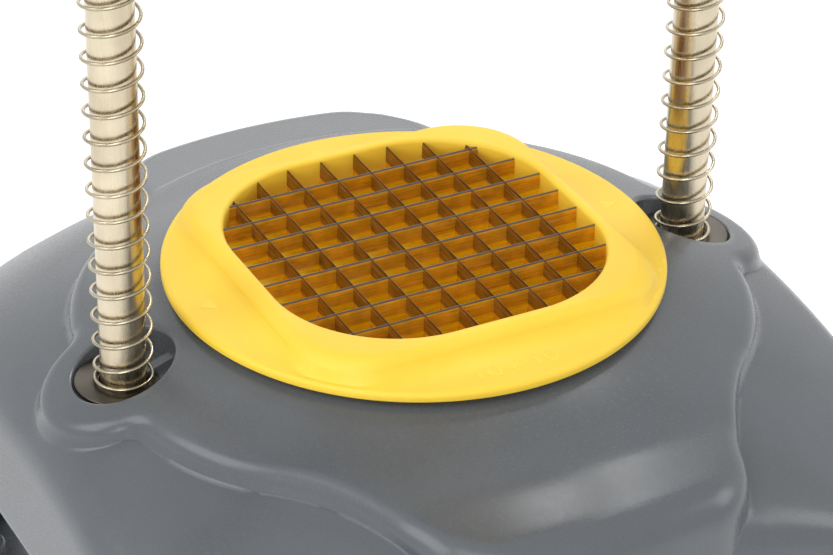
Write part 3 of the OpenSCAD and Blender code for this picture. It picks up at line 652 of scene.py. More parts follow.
def columnRows(core, normal, zEnd, end):
    # One column's points: the outer skin, from the seat over the deck and down to the arch, then the inner
    b = base
    shoulder = sx, sy = tuple(c + n * shoulderReach for c, n in zip(core, normal))
    endR = b["nose end radius"]
    noseY = b["nose reach"] - endR + sqrt(endR * endR - min(sx, 100) ** 2)
    angle = atan2(max(sy, noseY) if sy > sx else sy, sx)
    ox, oy, nx, ny = outlinePoint(min(angle, pi / 2))
    q0 = (sx - ox) * normal[0] + (sy - oy) * normal[1]
    nose = blend01(degrees(angle), b["nose from"], b["nose to"])

    def place(q, z):
        if q > 0 and q0 > 0.05:
            return between(shoulder, (ox, oy), min(q / q0, 1.6)) + (z,)
        return sx - normal[0] * q, sy - normal[1] * q, z

    def throat(grown):
        return squarePoint(b["throat half"] + grown, b["throat radius"] + grown, angle)

    # throat, seat and deck
    seat, bottom = b["seat height"], b["throat bottom"]
    edge, bearing = throat(b["throat edge"]), (b["seat radius"] * cos(angle), b["seat radius"] * sin(angle))
    zc = deckHeight(ox, oy, end)
    turn = pi / 2 - atan2(deckHeight(ox - nx * 3, oy - ny * 3, end) - zc, 3)
    tangent = (b["lobe roll"] + (end["roll"] - b["lobe roll"]) * nose) * tan(turn / 2)
    ax, ay = ox - nx * tangent, oy - ny * tangent
    rows = [throat(0) + (z,) for z in (bottom + 0.6, bottom + 8, 124.0, seat - 2.0, seat - 0.7)]
    rows += [between(edge, bearing, k / 3) + (seat,) for k in range(4)]
    for x, y in (between(bearing, (ax, ay), k / 23) for k in range(1, 23)):
        rows.append((x, y, deckHeight(x, y, end)))

    # face and landing on the body
    qf = q0 - b["wall lean"] * (1 - nose) * max(0.3, nx * normal[0] + ny * normal[1])
    curve = bodyCurve(shoulder, normal, 0.0, max(q0 + 8, 16.0), zEnd)
    rest, lowest = cutAt(curve, qf), zEnd + 8
    if rest[0][1] < lowest or qf <= curve[-1][0]:
        rest = [(qf, lowest)] + [(min(qf, q), z) for q, z in curve if z < lowest - 0.1]
        rest[-1] = (min(qf, curve[-1][0]), zEnd)
    total, landing = lengthOf(rest), rest[0]
    ahead = trace(rest, min(1.5, total * 0.5))
    bend = pi / 2 - atan2(landing[1] - ahead[1], landing[0] - ahead[0])
    faceTop = zc - tangent
    t = min(b["foot round"] * tan(max(0.0, bend) / 2), 0.4 * (faceTop - landing[1]), 0.4 * total)
    t = max(t, 0.05)
    faceEnd = landing[1] + t

    def facePlace(z):
        x, y, _ = place(q0 - (q0 - qf) * min(1.0, (zc - z) / (zc - landing[1])), z)
        return between((ox, oy), (x, y), blend01(zc - z, 0.0, max(1.0, zc - landing[1]))) + (z,)

    rows += curved((ax, ay, deckHeight(ax, ay, end)), (ox, oy, zc), facePlace(faceTop), 9, cos(turn / 2))
    rows += [facePlace(faceTop + (faceEnd - faceTop) * k / 4) for k in range(1, 4)]
    for q, z in curved((qf, faceEnd), landing, trace(rest, t), 5):
        rows.append(place(q, z) if z <= landing[1] else facePlace(z))
    rows += [place(*trace(rest, t + (total - t - 1.5) * k / 24)) for k in range(1, 25)] + [place(*rest[-1])]

    # inner skin, from the throat's lower edge up and out to the arch
    wall = b["wall"]
    rx, ry = throat(b["throat wall"])
    inCurve = bodyCurve(shoulder, normal, wall, 55.0, zEnd)
    shift = rest[-1][0] + wall - inCurve[-1][0]
    roof = domeHeight(b["body radius"] - wall, b["body crown"] - wall, hypot(rx, ry)) - 0.5
    inner = [(rx, ry, z) for z in (bottom + 0.6, bottom + 9, roof - 1.5)]
    for q, z in evened(inCurve, 31):
        q += shift * blend01(122.0 - z, 0.0, 122.0 - zEnd)
        share = 1 - q / (sx * normal[0] + sy * normal[1])
        x, y = (sx * share, sy * share) if q > 0 else (sx - normal[0] * q, sy - normal[1] * q)
        if hypot(x, y) > hypot(rx, ry) + 0.8:
            inner.append((x, y, z))
    return rows, inner[:3] + evened(inner[3:], 26)


def cutPocket(bm, side):
    # Opens the deck round a rod and grows the pocket's rounded edge, wall and floor
    b = base
    middle = (side * rods["spacing"], 0)
    radius, edge, floor = b["pocket radius"], b["pocket edge"], b["pocket floor"]

    def onDeck(co, reach, slack):
        height = deckHeight(co.x, co.y, b["front nose"])
        return hypot(co.x - middle[0], co.y) < reach and abs(co.z - height) < slack

    def level(reach, z):
        return roundRow(middle, reach, z, 0, 96)

    def below(reach, depth):
        return [(x, y, deckHeight(x, y, b["front nose"]) - depth) for x, y, _ in level(reach, 0)]

    gone = [f for f in bm.faces if onDeck(f.calc_center_median(), radius + edge + 1.4, 0.5)]
    bmesh.ops.delete(bm, geom=gone, context="FACES")
    rim = [e for e in bm.edges if len(e.link_faces) == 1 and all(onDeck(v.co, 24, 0.2) for v in e.verts)]
    ring = startRing(bm, below(radius + edge, 0))
    loop = [bm.edges.get(pair) for pair in pairsOf(ring)]
    bmesh.ops.triangle_fill(bm, use_beauty=True, use_dissolve=False, edges=rim + loop, normal=(0, 0, 1))
    rows = [below(radius + edge * out, edge * down) for out, down in bends(5)[1:]]
    rows += [level(radius, floor + 0.8), level(radius - 0.25, floor + 0.2), level(radius - 0.8, floor),
             level(b["rod hole"], floor), level(b["rod hole"] - 0.1, floor - 0.7)]
    bmesh.ops.contextual_create(bm, geom=growRows(bm, rows, ring)[1])


def stand(bm, outline, turn):
    # An upright rib through the middle: outline is (distance from the middle, height)
    half = base["rib"] / 2
    c, s = cos(turn), sin(turn)
    for v in slab(bm, outline, -half, half):
        along, z, across = v.co
        v.co = (along * c - across * s, along * s + across * c, z)


def underside(bm):
    # Ribs, rod bosses, foot plates and foot bosses under the skin
    b = base
    foot, bottom, half, centre = b["foot height"], b["throat bottom"] + 0.3, b["wall"] / 2, b["corner centre"]
    far, near, slant = hypot(centre, centre) + shoulderReach, centre + shoulderReach, sqrt(0.5)
    leg = bodyCurve((far * slant, far * slant), (slant, slant), half, 83.0, foot + 0.5)
    low = far - leg[-1][0]
    legRib = [(far - q, z) for q, z in leg]
    legRib += [(low - 14, foot + 0.5), (low - 22, 58.0), (low - 40, 84.0), (56.2, bottom)]
    side = bodyCurve((near, 0.0), (1.0, 0.0), half, 58.0, bottom)
    sideRib = [(near - q, z) for q, z in side] + [(50.6, bottom)]
    for outline, start in ((legRib, pi / 4), (sideRib, 0)):
        for k in range(4):
            stand(bm, outline, start + pi / 2 * k)
    r, z, top = b["boss radius"], b["boss bottom"], b["boss top"]
    for section, at, _ in atRods([(0, z), (r - 0.8, z), (r, z + 0.8), (r, top), (0, top)]):
        lathe(bm, section, 64, at)
    plate = [(centre + 0.6, centre + 0.6)] + arc((centre, centre), b["foot plate radius"], 0, pi / 2, 24)
    for sx, sy in corners:
        at = (sx * b["foot place"], sy * b["foot place"], 0)
        lathe(bm, rounded(0, b["foot boss"][0], foot + 0.1, b["foot boss"][1], 0.6), 48, at)
        slab(bm, [(sx * x, sy * y) for x, y in plate], foot, foot + b["foot plate"])


def buildBase():
    b = base
    f, centre = b["edge round"], b["corner centre"]
    columns, legFrom = baseColumns()
    made, front = ([columnRows(*column[:3], b[end]) for column in columns]
                   for end in ("rear nose", "front nose"))
    outer = [allRound([m[0][k] for m in made], [m[0][k] for m in front]) for k in range(len(made[0][0]))]
    inner = [allRound([m[1][k] for m in made]) for k in range(len(made[0][1]))]
    throat = [[between(p, q, share)[:2] + (p[2] - drop,) for p, q in zip(outer[0], inner[0])]
              for share, drop in ((0.12, 0.35), (0.3, 0.6), (0.7, 0.6), (0.88, 0.35))]
    bm = bmesh.new()
    first, outerEnd = growRows(bm, outer)
    innerEnd = growRows(bm, throat + inner, first)[1]

    # legs, from the arches' springing down, and the loop round them and the arches on each skin
    count, half, legs = len(legTurns) - 1, len(outerEnd) // 2, b["leg rows"]
    top, bottom = b["arch height"] - b["arch corner radius"], b["leg bottom"] + f
    starts = {legFrom: (1, 1), half - legFrom - count: (-1, 1), half + legFrom: (-1, -1),
              2 * half - legFrom - count: (1, -1)}
    faces, down = [Vector(v) for v in allRound([column[3] for column in columns])], Vector((0, 0, -1))

    def skinLoop(end, inset):
        out, ways, k = [], [], 0
        while k < len(end):
            if k in starts:
                sx, sy = starts[k]
                rows = [end[k:k + count + 1]]
                for z in (top + (bottom - top) * m / legs for m in range(1, legs + 1)):
                    r = cornerRadius(z) - inset
                    row = [(sx * (centre + r * cos(t)), sy * (centre + r * sin(t)), z)
                           for t in legTurns[::sx * sy]]
                    rows.append(grow(bm, rows[-1], row, closed=False))
                out += [row[0] for row in rows[:-1]] + rows[-1] + [row[-1] for row in rows[-2::-1]]
                a, c = faces[k], faces[k + count]
                ways += [a] * legs + [a + down] + [down] * (count - 1) + [c + down] + [c] * legs
                k += count
            else:
                out.append(end[k])
                ways.append(faces[k])
            k += 1
        return out, [v.co.copy() for v in out], ways

    ring, a, ways = skinLoop(outerEnd, 0.0)
    innerLoop, c, ways = skinLoop(innerEnd, b["wall"])

    def edgeRow(near, far, side, end):
        return [p + w * f * (1 - side) + (q - p).normalized() * f * end for p, q, w in zip(near, far, ways)]

    rows = [edgeRow(a, c, *bend) for bend in bends(4)[1:]]
    rows += [edgeRow(c, a, *bend) for bend in bends(4)[3:0:-1]]
    ring = growRows(bm, rows + [c], ring)[1]
    bmesh.ops.remove_doubles(bm, verts=ring + innerLoop, dist=0.01)
    for side, _ in sides:
        cutPocket(bm, side)
    underside(bm)
    finishPiece("baseShell", bm, greyPlastic, angle=50)


buildBase()
print("base made")


# ---- grid insert ----

insert = {
    "opening half": 45.85, "opening radius": 33.5, "rim half": 50.3, "rim radius": 21.7, "rim top": 151.0,
    "foot half": 51.3, "foot radius": 16.05, "disc radius": 66.4, "disc top": 144.8, "disc bottom": 142.1,
    "skirt half": 48.6, "skirt radius": 36.25, "skirt bottom": 130.0, "columns": 480,
    "inner round": 1.3, "outer round": 3.0, "foot round": 3.1, "foot spread": 7.5, "disc round": 1.25,
}
marks = {"height": 5.0, "width": 3.8, "stroke": 0.75, "relief": 0.07, "place": -58.4, "cross": -1.5,
         "digits": (-11.6, -7.4, 4.4, 8.6), "arrow": 5.0, "arrow place": 59.5}


def insertColumn(angle):
    i = insert
    hole, rim, foot, skirt = (hypot(*squarePoint(i[word + " half"], i[word + " radius"], angle))
                              for word in ("opening", "rim", "foot", "skirt"))
    top, flat, bottom, low = i["rim top"], i["disc top"], i["disc bottom"], i["skirt bottom"]
    disc, r, up, down = i["disc radius"], i["inner round"], i["foot round"], i["disc round"]
    section = [(hole, z) for z in (low + 0.5, low + 6, 136.0, 142.0, 147.0)]
    section += curved((hole, top - r), (hole, top), (hole + r, top), 6, 0.7)
    start, end = hole + r, rim - i["outer round"]
    middle = (start + end) / 2
    section += [((start + middle) / 2, top + 0.03), (middle, top + 0.05), ((middle + end) / 2, top + 0.03)]
    slope = (foot - rim) / (top - flat)
    flank = (rim + slope * i["outer round"], top - i["outer round"])
    section += curved((end, top), (rim, top), flank, 9, 0.72)
    edge = disc - down
    footAt = min(foot, edge - 0.25)
    spreadTo = footAt + min(i["foot spread"], max(0.15, edge - footAt - 0.1))
    foot = (rim + slope * (top - flat - up), flat + up)
    section.append(between(flank, foot, 0.5))
    section += curved((min(foot[0], footAt), foot[1]), (footAt, flat), (spreadTo, flat - 0.01), 8)
    section += [(spreadTo + (edge - spreadTo) * t, flat - 0.02) for t in (0.35, 0.7)]
    section += curved((edge, flat - 0.02), (disc, flat), (disc, flat - down), 6, 0.7)
    section += curved((disc, bottom + 0.5), (disc, bottom), (disc - 0.5, bottom), 3, 0.7)
    section += [(disc - 5, bottom), (skirt + 0.6, bottom), (skirt, bottom - 0.6), (skirt, 136.0),
                (skirt, low + 0.5), (skirt - 0.5, low), (hole + 0.5, low)]
    return [(cos(angle) * q, sin(angle) * q, z) for q, z in section]


def insertMarks(bm):
    # The size in raised strokes on the front of the disc, and three plain triangles that show how it goes in
    m = marks
    low, high = insert["disc top"] - 0.3, insert["disc top"] + m["relief"]
    y, h, half, width = m["place"], m["height"] / 2, m["width"] / 2, m["stroke"]

    def stroke(x0, y0, x1, y1):
        dx, dy = x1 - x0, y1 - y0
        ax, ay = -dy * width / 2 / hypot(dx, dy), dx * width / 2 / hypot(dx, dy)
        slab(bm, [(x0 + ax, y0 + ay), (x0 - ax, y0 - ay), (x1 - ax, y1 - ay), (x1 + ax, y1 + ay)], low, high)

    for one, zero in (m["digits"][:2], m["digits"][2:]):
        stroke(one, y - h, one, y + h)
        stroke(one - 1.1, y + h - 1.3, one, y + h - 0.3)
        rings = []
        for z, reach in ((high, half), (high, half - width), (low, half - width), (low, half), (high, half)):
            rings.append([(px, y + (py - y) * (h + reach - half) / reach, z)
                          for px, py, _ in roundRow((zero, y), reach, z, 0, 32)])
        growRows(bm, rings)
    x = m["cross"]
    stroke(x - 1.3, y - 1.3, x + 1.3, y + 1.3)
    for turn in (1, -1):
        stroke(x + 1.3 * turn, y - 1.3 * turn, x + 0.27 * turn, y - 0.27 * turn)
    for c, s in ((1, 0), (0, 1), (-1, 0)):
        reach, w = m["arrow place"], m["arrow"] / 2
        arrow = [(reach - w, -w), (reach + w * 0.7, 0), (reach - w, w)]
        slab(bm, [(p * c - q * s, p * s + q * c) for p, q in arrow], low, high)


def buildInsert():
    count = insert["columns"]
    rows = [list(row) for row in zip(*(insertColumn(2 * pi * k / count) for k in range(count)))]
    bm = bmesh.new()
    growRows(bm, rows + rows[:1])
    insertMarks(bm)
    finishPiece("gridInsert", bm, yellowPlastic, node="insert_frame", angle=60)


buildInsert()
print("insert made")


# ---- rods, springs and what holds them ----

springs = {"bottom": 129.5, "top": 308.5, "radius": 7.4, "wire": 0.475, "open turns": 24, "closed pitch": 1.1,
           "steps": 40, "sides": 10, "solid length": 29.0}
ends = {
    "washer": (3.25, 9.0, 90.4, 92.0), "seat": (6.3, 12.7, 128.0, 129.5), "cup": (6.3, 10.475, 308.5, 310.0),
    "bumper": (6.02, 11.0, 354.3, 361.8), "cap radius": 12.0, "cap bottom": 361.8, "cap top": 371.8,
    "cap edge": 2.0, "bolt corner": 5.77, "bolt head": (84.9, 90.4), "bolt radius": 2.95, "bolt end": 111.0,
    "cap screw": {"head": (4.2, 3.2), "shank": (2.45, 16.0), "socket": (2.45, 1.6)},
}
feet = {"place": 92.0, "radius": 15.0, "top radius": 13.5, "height": 7.0, "bore": 2.15, "head bore": 4.6,
        "screw": {"head": (4.0, 2.4), "shank": (1.95, 10.6), "socket": (1.7, 1.4)}, "screw seat": 3.5}
bush = {"bore": 6.05, "radius": 9.0, "flange": 11.5, "flange height": 2.0, "length": 16.0, "low": 310.0,
        "high": 354.0}


def screws(name, seats, size, body=baseBody, up=1):
    # seats are the middles of the heads' undersides; size gives the head's (radius, height), the shank's
    # (radius, length), if there is one, and the socket's (corner, depth)
    (headR, headH), (hexR, depth) = size["head"], size["socket"]
    rows = []
    if "shank" in size:
        r, length = size["shank"]
        rows = [(r - 0.4, -length, 0), (r, 0.4 - length, 0), (r, 0, 0)]
    edge = min(0.35, headH / 4)
    rows += [(headR - 0.2, 0, 0), (headR, 0.2, 0), (headR, headH - edge, 0),
             (headR - 0.3 * edge, headH - 0.3 * edge, 0), (headR - edge, headH, 0), (hexR + 0.25, headH, 0),
             (hexR, headH - 0.2, hexR), (hexR, headH - depth, hexR)]
    bm = bmesh.new()
    for x, y, seat in seats:
        solid(bm, [roundRow((x, y), r, seat + up * z, corner) for r, z, corner in rows])
    finishPiece(name, bm, fastenerSteel, body)


def buildRods():
    r, c, low, high = rods["radius"], rods["chamfer"], rods["bottom"], rods["top"]
    section = [(0, low), (r - c, low), (r, low + c), (r, 160), (r, 230), (r, 300), (r, high - c),
               (r - c, high), (0, high)]
    for (_, word), part in zip(sides, atRods(section)):
        turned("guideRod" + word, [part], rodSteel, steps=96)


def buildSprings():
    s = springs
    rise = (s["top"] - s["bottom"] - 2 * s["wire"] - 2 * s["closed pitch"]) / s["open turns"]
    for side, word in sides:
        bm = bmesh.new()
        centre = (side * rods["spacing"], 0, 0)
        ring = bmesh.ops.create_circle(bm, segments=s["sides"], radius=s["wire"], cap_ends=True)["verts"]
        for v in ring:
            v.co = Vector((centre[0] + s["radius"] + v.co.x, 0, s["bottom"] + s["wire"] + v.co.y))
        geom = list({g for v in ring for g in [v] + list(v.link_edges) + list(v.link_faces)})
        for pitch, turns in ((s["closed pitch"], 1), (rise, s["open turns"]), (s["closed pitch"], 1)):
            geom = bmesh.ops.spin(bm, geom=geom, cent=centre, axis=(0, 0, 1), dvec=(0, 0, pitch / s["steps"]),
                                  angle=2 * pi * turns, steps=s["steps"] * turns)["geom_last"]
        piece = finishPiece("spring" + word, bm, springSteel, angle=50)
        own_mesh(piece)


def buildRodEnds():
    e = ends
    turned("rodWashers", atRods(rounded(*e["washer"], 0.25)), fastenerSteel)
    turned("springSeats", atRods(rounded(*e["seat"], 0.3)), seatSteel, slot="fastener_steel")
    turned("springCups", atRods(rounded(*e["cup"], 0.3)), fastenerSteel, carriageBody)
    turned("stopBumpers", atRods(rounded(*e["bumper"], 1.6, 6)), rubber)
    r, low, high, edge = e["cap radius"], e["cap bottom"], e["cap top"], e["cap edge"]
    bore = rods["radius"] + 0.02
    cap = [(bore, low + 0.4), (bore, rods["top"]), (2.55, rods["top"]), (2.55, high)]
    cap += curved((r - edge, high), (r, high), (r, high - edge), 8, 0.707)
    cap += [(r, low + 0.5), (r - 0.15, low + 0.15), (r - 0.5, low), (bore + 0.4, low), (bore, low + 0.4)]
    turned("rodCaps", atRods(cap), darkPlastic, steps=96)
    screws("capScrews", [(side * rods["spacing"], 0, high) for side, _ in sides], e["cap screw"])
    bm = bmesh.new()
    (low, high), corner, r, tip = e["bolt head"], e["bolt corner"], e["bolt radius"], e["bolt end"]
    for side, _ in sides:
        solid(bm, [roundRow((side * rods["spacing"], 0), reach, z, six) for reach, z, six in (
            (corner * 0.82, low, 0), (corner * 0.87, low + 0.1, 0), (corner, low + 0.6, corner),
            (corner, high - 0.1, corner), (corner * 0.85, high, 0), (r, high, 0), (r, tip - 0.5, 0),
            (r - 0.5, tip, 0))])
    finishPiece("rodBolts", bm, fastenerSteel)


def buildFeet():
    f = feet
    r, h, wide, bore = f["radius"], f["height"], f["head bore"], f["bore"]
    section = [(wide, 0.4), (wide + 0.4, 0)] + curved((r - 1.4, 0), (r, 0), (r - 0.1, 1.5), 5, 0.8)
    section += [(f["top radius"] + 0.15, h - 0.4), (f["top radius"] - 0.3, h), (bore, h), (bore, h / 2),
                (wide, h / 2), (wide, 0.4)]
    for x, y in corners:
        word = ("Rear" if y > 0 else "Front") + ("Right" if x > 0 else "Left")
        turned("foot" + word, [(section, (x * f["place"], y * f["place"], 0), "Z")], rubber)
    seats = [(x * f["place"], y * f["place"], f["screw seat"]) for x, y in corners]
    screws("footScrews", seats, f["screw"], up=-1)


def buildBushes():
    b = bush
    bore, wide, r, flange = b["bore"], b["flange"], b["radius"], b["flange height"]
    end = flange + b["length"]
    section = [(bore, 0.4), (bore + 0.4, 0), (wide - 0.4, 0), (wide, 0.4), (wide, flange - 0.3),
               (wide - 0.3, flange), (r, flange), (r, end - 0.5), (r - 0.5, end), (bore + 0.4, end),
               (bore, end - 0.4), (bore, 0.4)]
    for k, (_, word) in enumerate(sides):
        for level, start, way in (("Lower", b["low"], 1), ("Upper", b["high"], -1)):
            part = atRods([(r, start + way * z) for r, z in section])[k]
            turned("bush" + level + word, [part], bushPlastic, carriageBody)


buildRods()
buildSprings()
print("rods and springs made")
buildRodEnds()
buildFeet()
buildBushes()
print("rod ends, feet and bushes made")


# ---- carriage ----

carriage = {
    "hub radius": 21.0, "middle radius": 38.0, "bottom": 317.5, "top": 352.0, "bottom round": 2.5,
    "top round": 0.6, "wall": 4.0, "floor": 323.5, "hollow half": 66.0, "hub": (9.02, 19.5, 312.0, 318.6),
    "bore": 9.02, "post radius": 4.5, "stud height": 331.99, "stud radius": 6.0, "stud": (94.5, 183.0),
    "ear radius": 13.0, "ear from": 95.0, "ear end": 114.0, "ear flare": 1.8, "set screw at": 106.0,
    "set screw": {"head": (2.45, 6.0), "socket": (1.3, 2.5)},
}
cover = {"height": 6.0, "crown": 240.0, "round": 1.4, "hole": 12.5, "recess": 3.3, "seat": 354.4,
         "screws": (51.75, 17.0), "screw": {"head": (3.0, 2.0), "shank": (1.45, 15.4), "socket": (1.35, 1.2)}}
pusher = {"half": 45.25, "corner": 32.9, "top": 314.5, "bottom": 302.5, "round": 1.6, "finger bottom": 286.0,
          "pitch": 10.0, "cells": 9, "slot": 1.8, "finger corner": 0.9, "finger round": 0.6, "smallest": 1.5,
          "plate half": 36.0, "plate corner": 12.0, "plate top": 317.5, "screws": 20.0,
          "screw": {"head": (4.2, 3.2), "shank": (2.45, 19.0), "socket": (2.45, 1.6)}}
grip = {"from": 114.0, "to": 186.0, "radius": 15.5, "neck": 12.3, "collar": 13.5, "collar width": 2.8,
        "neck width": 4.0, "fullness": 0.8, "groove depth": 0.4, "groove pitch": 4.0, "cap radius": 13.0,
        "cap": 3.0, "steps": 150}


def crossheadOutline(inset):
    # Two hubs joined by straight sides and a wider middle, drawn in by inset
    hub, middle = carriage["hub radius"], carriage["middle radius"]
    lean = acos((middle - hub) / rods["spacing"])
    out = []
    for x, radius, start, end, steps in (
            (rods["spacing"], hub, -lean, lean, 32), (0, middle, lean, pi - lean, 8),
            (-rods["spacing"], hub, pi - lean, pi + lean, 32), (0, middle, pi + lean, 2 * pi - lean, 8)):
        out += arc((x, 0), radius - inset, start, end, steps)
    return out


def squareOutline(half, radius, count=128):
    def outline(inset):
        return [squarePoint(half - inset, max(0.01, radius - inset), 2 * pi * (k + 0.5) / count)
                for k in range(count)]
    return outline


def buildCrosshead():
    c = carriage
    bm, hollow, bores = bmesh.new(), bmesh.new(), bmesh.new()
    bottom, top, half = c["bottom"], c["top"], c["hollow half"]
    pad(bm, crossheadOutline, bottom, top, c["bottom round"], c["top round"])
    pad(hollow, lambda inset: [(max(-half, min(half, x)), y) for x, y in crossheadOutline(c["wall"] + inset)],
        c["floor"], top + 3, 1.0, 0.1)
    for section, at, _ in atRods(disc(c["bore"], bottom - 9, top + 9)):
        lathe(bores, section, 64, at)
    bm = carve(carve(bm, hollow), bores)
    height, bore, root = c["stud height"], c["stud radius"] + 0.02, rods["spacing"] + c["hub radius"]
    r, wide, near, far = c["ear radius"], c["ear radius"] + c["ear flare"], c["ear from"], c["ear end"]
    section = [(bore, near), (wide, near)]
    section += curved((wide, root - 1.2), (r, root - 0.6), (r, root + 2.2), 6, 0.8)
    section += curved((r, far - 1), (r, far), (r - 1, far), 4, 0.7) + [(bore, far), (bore, near)]
    for side, _ in sides:
        lathe(bm, rounded(*c["hub"], 1.0), 64, (side * rods["spacing"], 0, 0))
        ear, hole = bmesh.new(), bmesh.new()
        lathe(ear, section, 80, (0, 0, height), "X" if side > 0 else "-X")
        lathe(hole, disc(2.5, height + 8, height + r + 3), 32, (side * c["set screw at"], 0, 0))
        joinIn(bm, carve(ear, hole))
    for x, y in corners:
        lathe(bm, rounded(0, c["post radius"], c["floor"] - 0.5, top - 2, 0.3), 32,
              (x * cover["screws"][0], y * cover["screws"][1], 0))
    finishPiece("crosshead", bm, greyPlastic, carriageBody)


def buildCover():
    c = cover
    low = carriage["top"]
    crown, top, r, hole = c["crown"], low + c["height"], c["round"], c["hole"]

    def height(y):
        return top - crown + sqrt(crown * crown - y * y)

    rows = [[(x, y, low + z) for x, y in crossheadOutline(inset)] for inset, z in ((0.5, 0.05), (0, 0.5))]
    for side, end in bends(5):
        rows.append([(x, y, height(y) - r * side) for x, y in crossheadOutline(r * end)])
    for share in (0.9, 0.75, 0.6, 0.45, 0.3, 0.15, 0):
        rows.append([(x, y * share, height(y * share)) for x, y in crossheadOutline(r)])
    bm, holes = bmesh.new(), bmesh.new()
    bmesh.ops.contextual_create(bm, geom=growRows(bm, rows)[0])
    section = [(0, low - 2), (hole, low - 2)]
    section += curved((hole, top - 1.0), (hole, top + 0.1), (hole + 1.2, top + 0.2), 4)
    for section, at, _ in atRods(section + [(hole + 1.2, top + 3), (0, top + 3)]):
        lathe(holes, section, 96, at)
    spots = [(x * c["screws"][0], y * c["screws"][1]) for x, y in corners]
    for spot in spots:
        lathe(holes, disc(c["recess"], c["seat"], top + 3), 48, spot + (0,))
    finishPiece("crossheadCover", carve(bm, holes), darkPlastic, carriageBody)
    screws("coverScrews", [spot + (c["seat"],) for spot in spots], c["screw"], carriageBody)


def cutTo(shape, outline):
    # The part of one convex outline that lies inside another
    for a, b in pairsOf(outline):
        kept = []
        for p, q in pairsOf(shape):
            sideP, sideQ = ((b[0] - a[0]) * (v[1] - a[1]) - (b[1] - a[1]) * (v[0] - a[0]) for v in (p, q))
            if sideP >= 0:
                kept.append(p)
            if (sideP > 0) != (sideQ > 0) and abs(sideP - sideQ) > 1e-9:
                kept.append(between(p, q, sideP / (sideP - sideQ)))
        shape = kept
        if len(shape) < 3:
            return []
    return shape


def buildPusher():
    # A plate with a finger for each cell of the grid, cut to the opening's outline
    c = pusher
    bm = bmesh.new()
    edge = squareOutline(c["half"], c["corner"])
    pad(bm, edge, c["bottom"], c["top"], 0.3, c["round"])
    pitch, slot, beyond = c["pitch"], c["slot"], c["half"] + 1
    starts = [(k - c["cells"] / 2) * pitch for k in range(c["cells"])]
    spans = [(start + slot / 2, start + pitch - slot / 2) for start in starts]
    spans[0], spans[-1] = (-beyond, spans[0][1]), (spans[-1][0], beyond)
    for x in spans:
        for y in spans:
            shape = cutTo(rounded(*x, *y, c["finger corner"])[:-1], edge(0))
            if not shape:
                continue
            middle = [sum(p[k] for p in shape) / len(shape) for k in (0, 1)]
            size = max(dist(p, middle) for p in shape)
            if size < c["smallest"]:
                continue
            rows = []
            for side, end in bends(3):
                z = c["finger bottom"] + c["finger round"] * end
                rows.append([between(middle, p, 1 - c["finger round"] * side / size) + (z,) for p in shape])
            solid(bm, rows + [[p + (c["bottom"] + 0.6,) for p in shape]])
    finishPiece("pusherBlock", bm, yellowPlastic, carriageBody)
    bm = bmesh.new()
    pad(bm, squareOutline(c["plate half"], c["plate corner"]), c["top"], c["plate top"])
    finishPiece("pusherBackplate", bm, plateSteel, carriageBody)
    seats = [(x * c["screws"], y * c["screws"], carriage["floor"]) for x, y in corners]
    screws("pusherScrews", seats, c["screw"], carriageBody)


def gripSection():
    # A bulged grip with shallow grooves between two collars
    g = grip
    bore, length = carriage["stud radius"] + 0.02, g["to"] - g["from"]
    collar, w = g["collar"], g["collar width"]
    first = [(bore, 0.3), (bore + 0.3, 0), (collar - 0.6, 0), (collar - 0.15, 0.2), (collar, 0.6),
             (collar, w - 0.5), (collar - 0.2, w - 0.1), (collar - 0.5, w)]
    span, middle = length - 2 * g["neck width"], []
    for share in (k / g["steps"] for k in range(g["steps"] + 1)):
        r = g["neck"] + (g["radius"] - g["neck"]) * sin(pi * share) ** g["fullness"]
        fade = blend01(share, 0.1, 0.16) * (1 - blend01(share, 0.84, 0.9))
        wave = (0.5 + 0.5 * cos(2 * pi * (share - 0.5) * span / g["groove pitch"])) ** 5
        middle.append((r - g["groove depth"] * wave * fade, g["neck width"] + share * span))
    last = [(r, length - z) for r, z in reversed(first)]
    return [(r, g["from"] + z) for r, z in first + middle + last + first[:1]]


def buildHandles():
    c, g = carriage, grip
    at = (0, 0, c["stud height"])
    for word, axis in (("Left", "-X"), ("Right", "X")):
        turned("grip" + word, [(gripSection(), at, axis)], gripPlastic, carriageBody)
        stud = rounded(0, c["stud radius"], *c["stud"], 0.5)
        turned("handleStud" + word, [(stud, at, axis)], fastenerSteel, carriageBody)
    r, low, high = g["cap radius"], g["to"], g["to"] + g["cap"]
    section = [(0, low - 2.7), (5.9, low - 2.7), (5.9, low), (r - 0.4, low), (r, low + 0.4)]
    section += curved((r, high - 1.5), (r, high), (r - 1.5, high), 6, 0.707)
    section += [(r * 0.55, high), (r * 0.5, high - 0.4), (0, high - 0.4)]
    turned("gripCaps", [(section, at, axis) for axis in ("X", "-X")], darkPlastic, carriageBody)
    seats = [(side * c["set screw at"], 0, at[2] + c["stud radius"] + 0.02) for side, _ in sides]
    screws("handleSetScrews", seats, c["set screw"], carriageBody)


buildCrosshead()
buildCover()
buildPusher()
buildHandles()
print("carriage made")


# ---- camera, floor and light ----

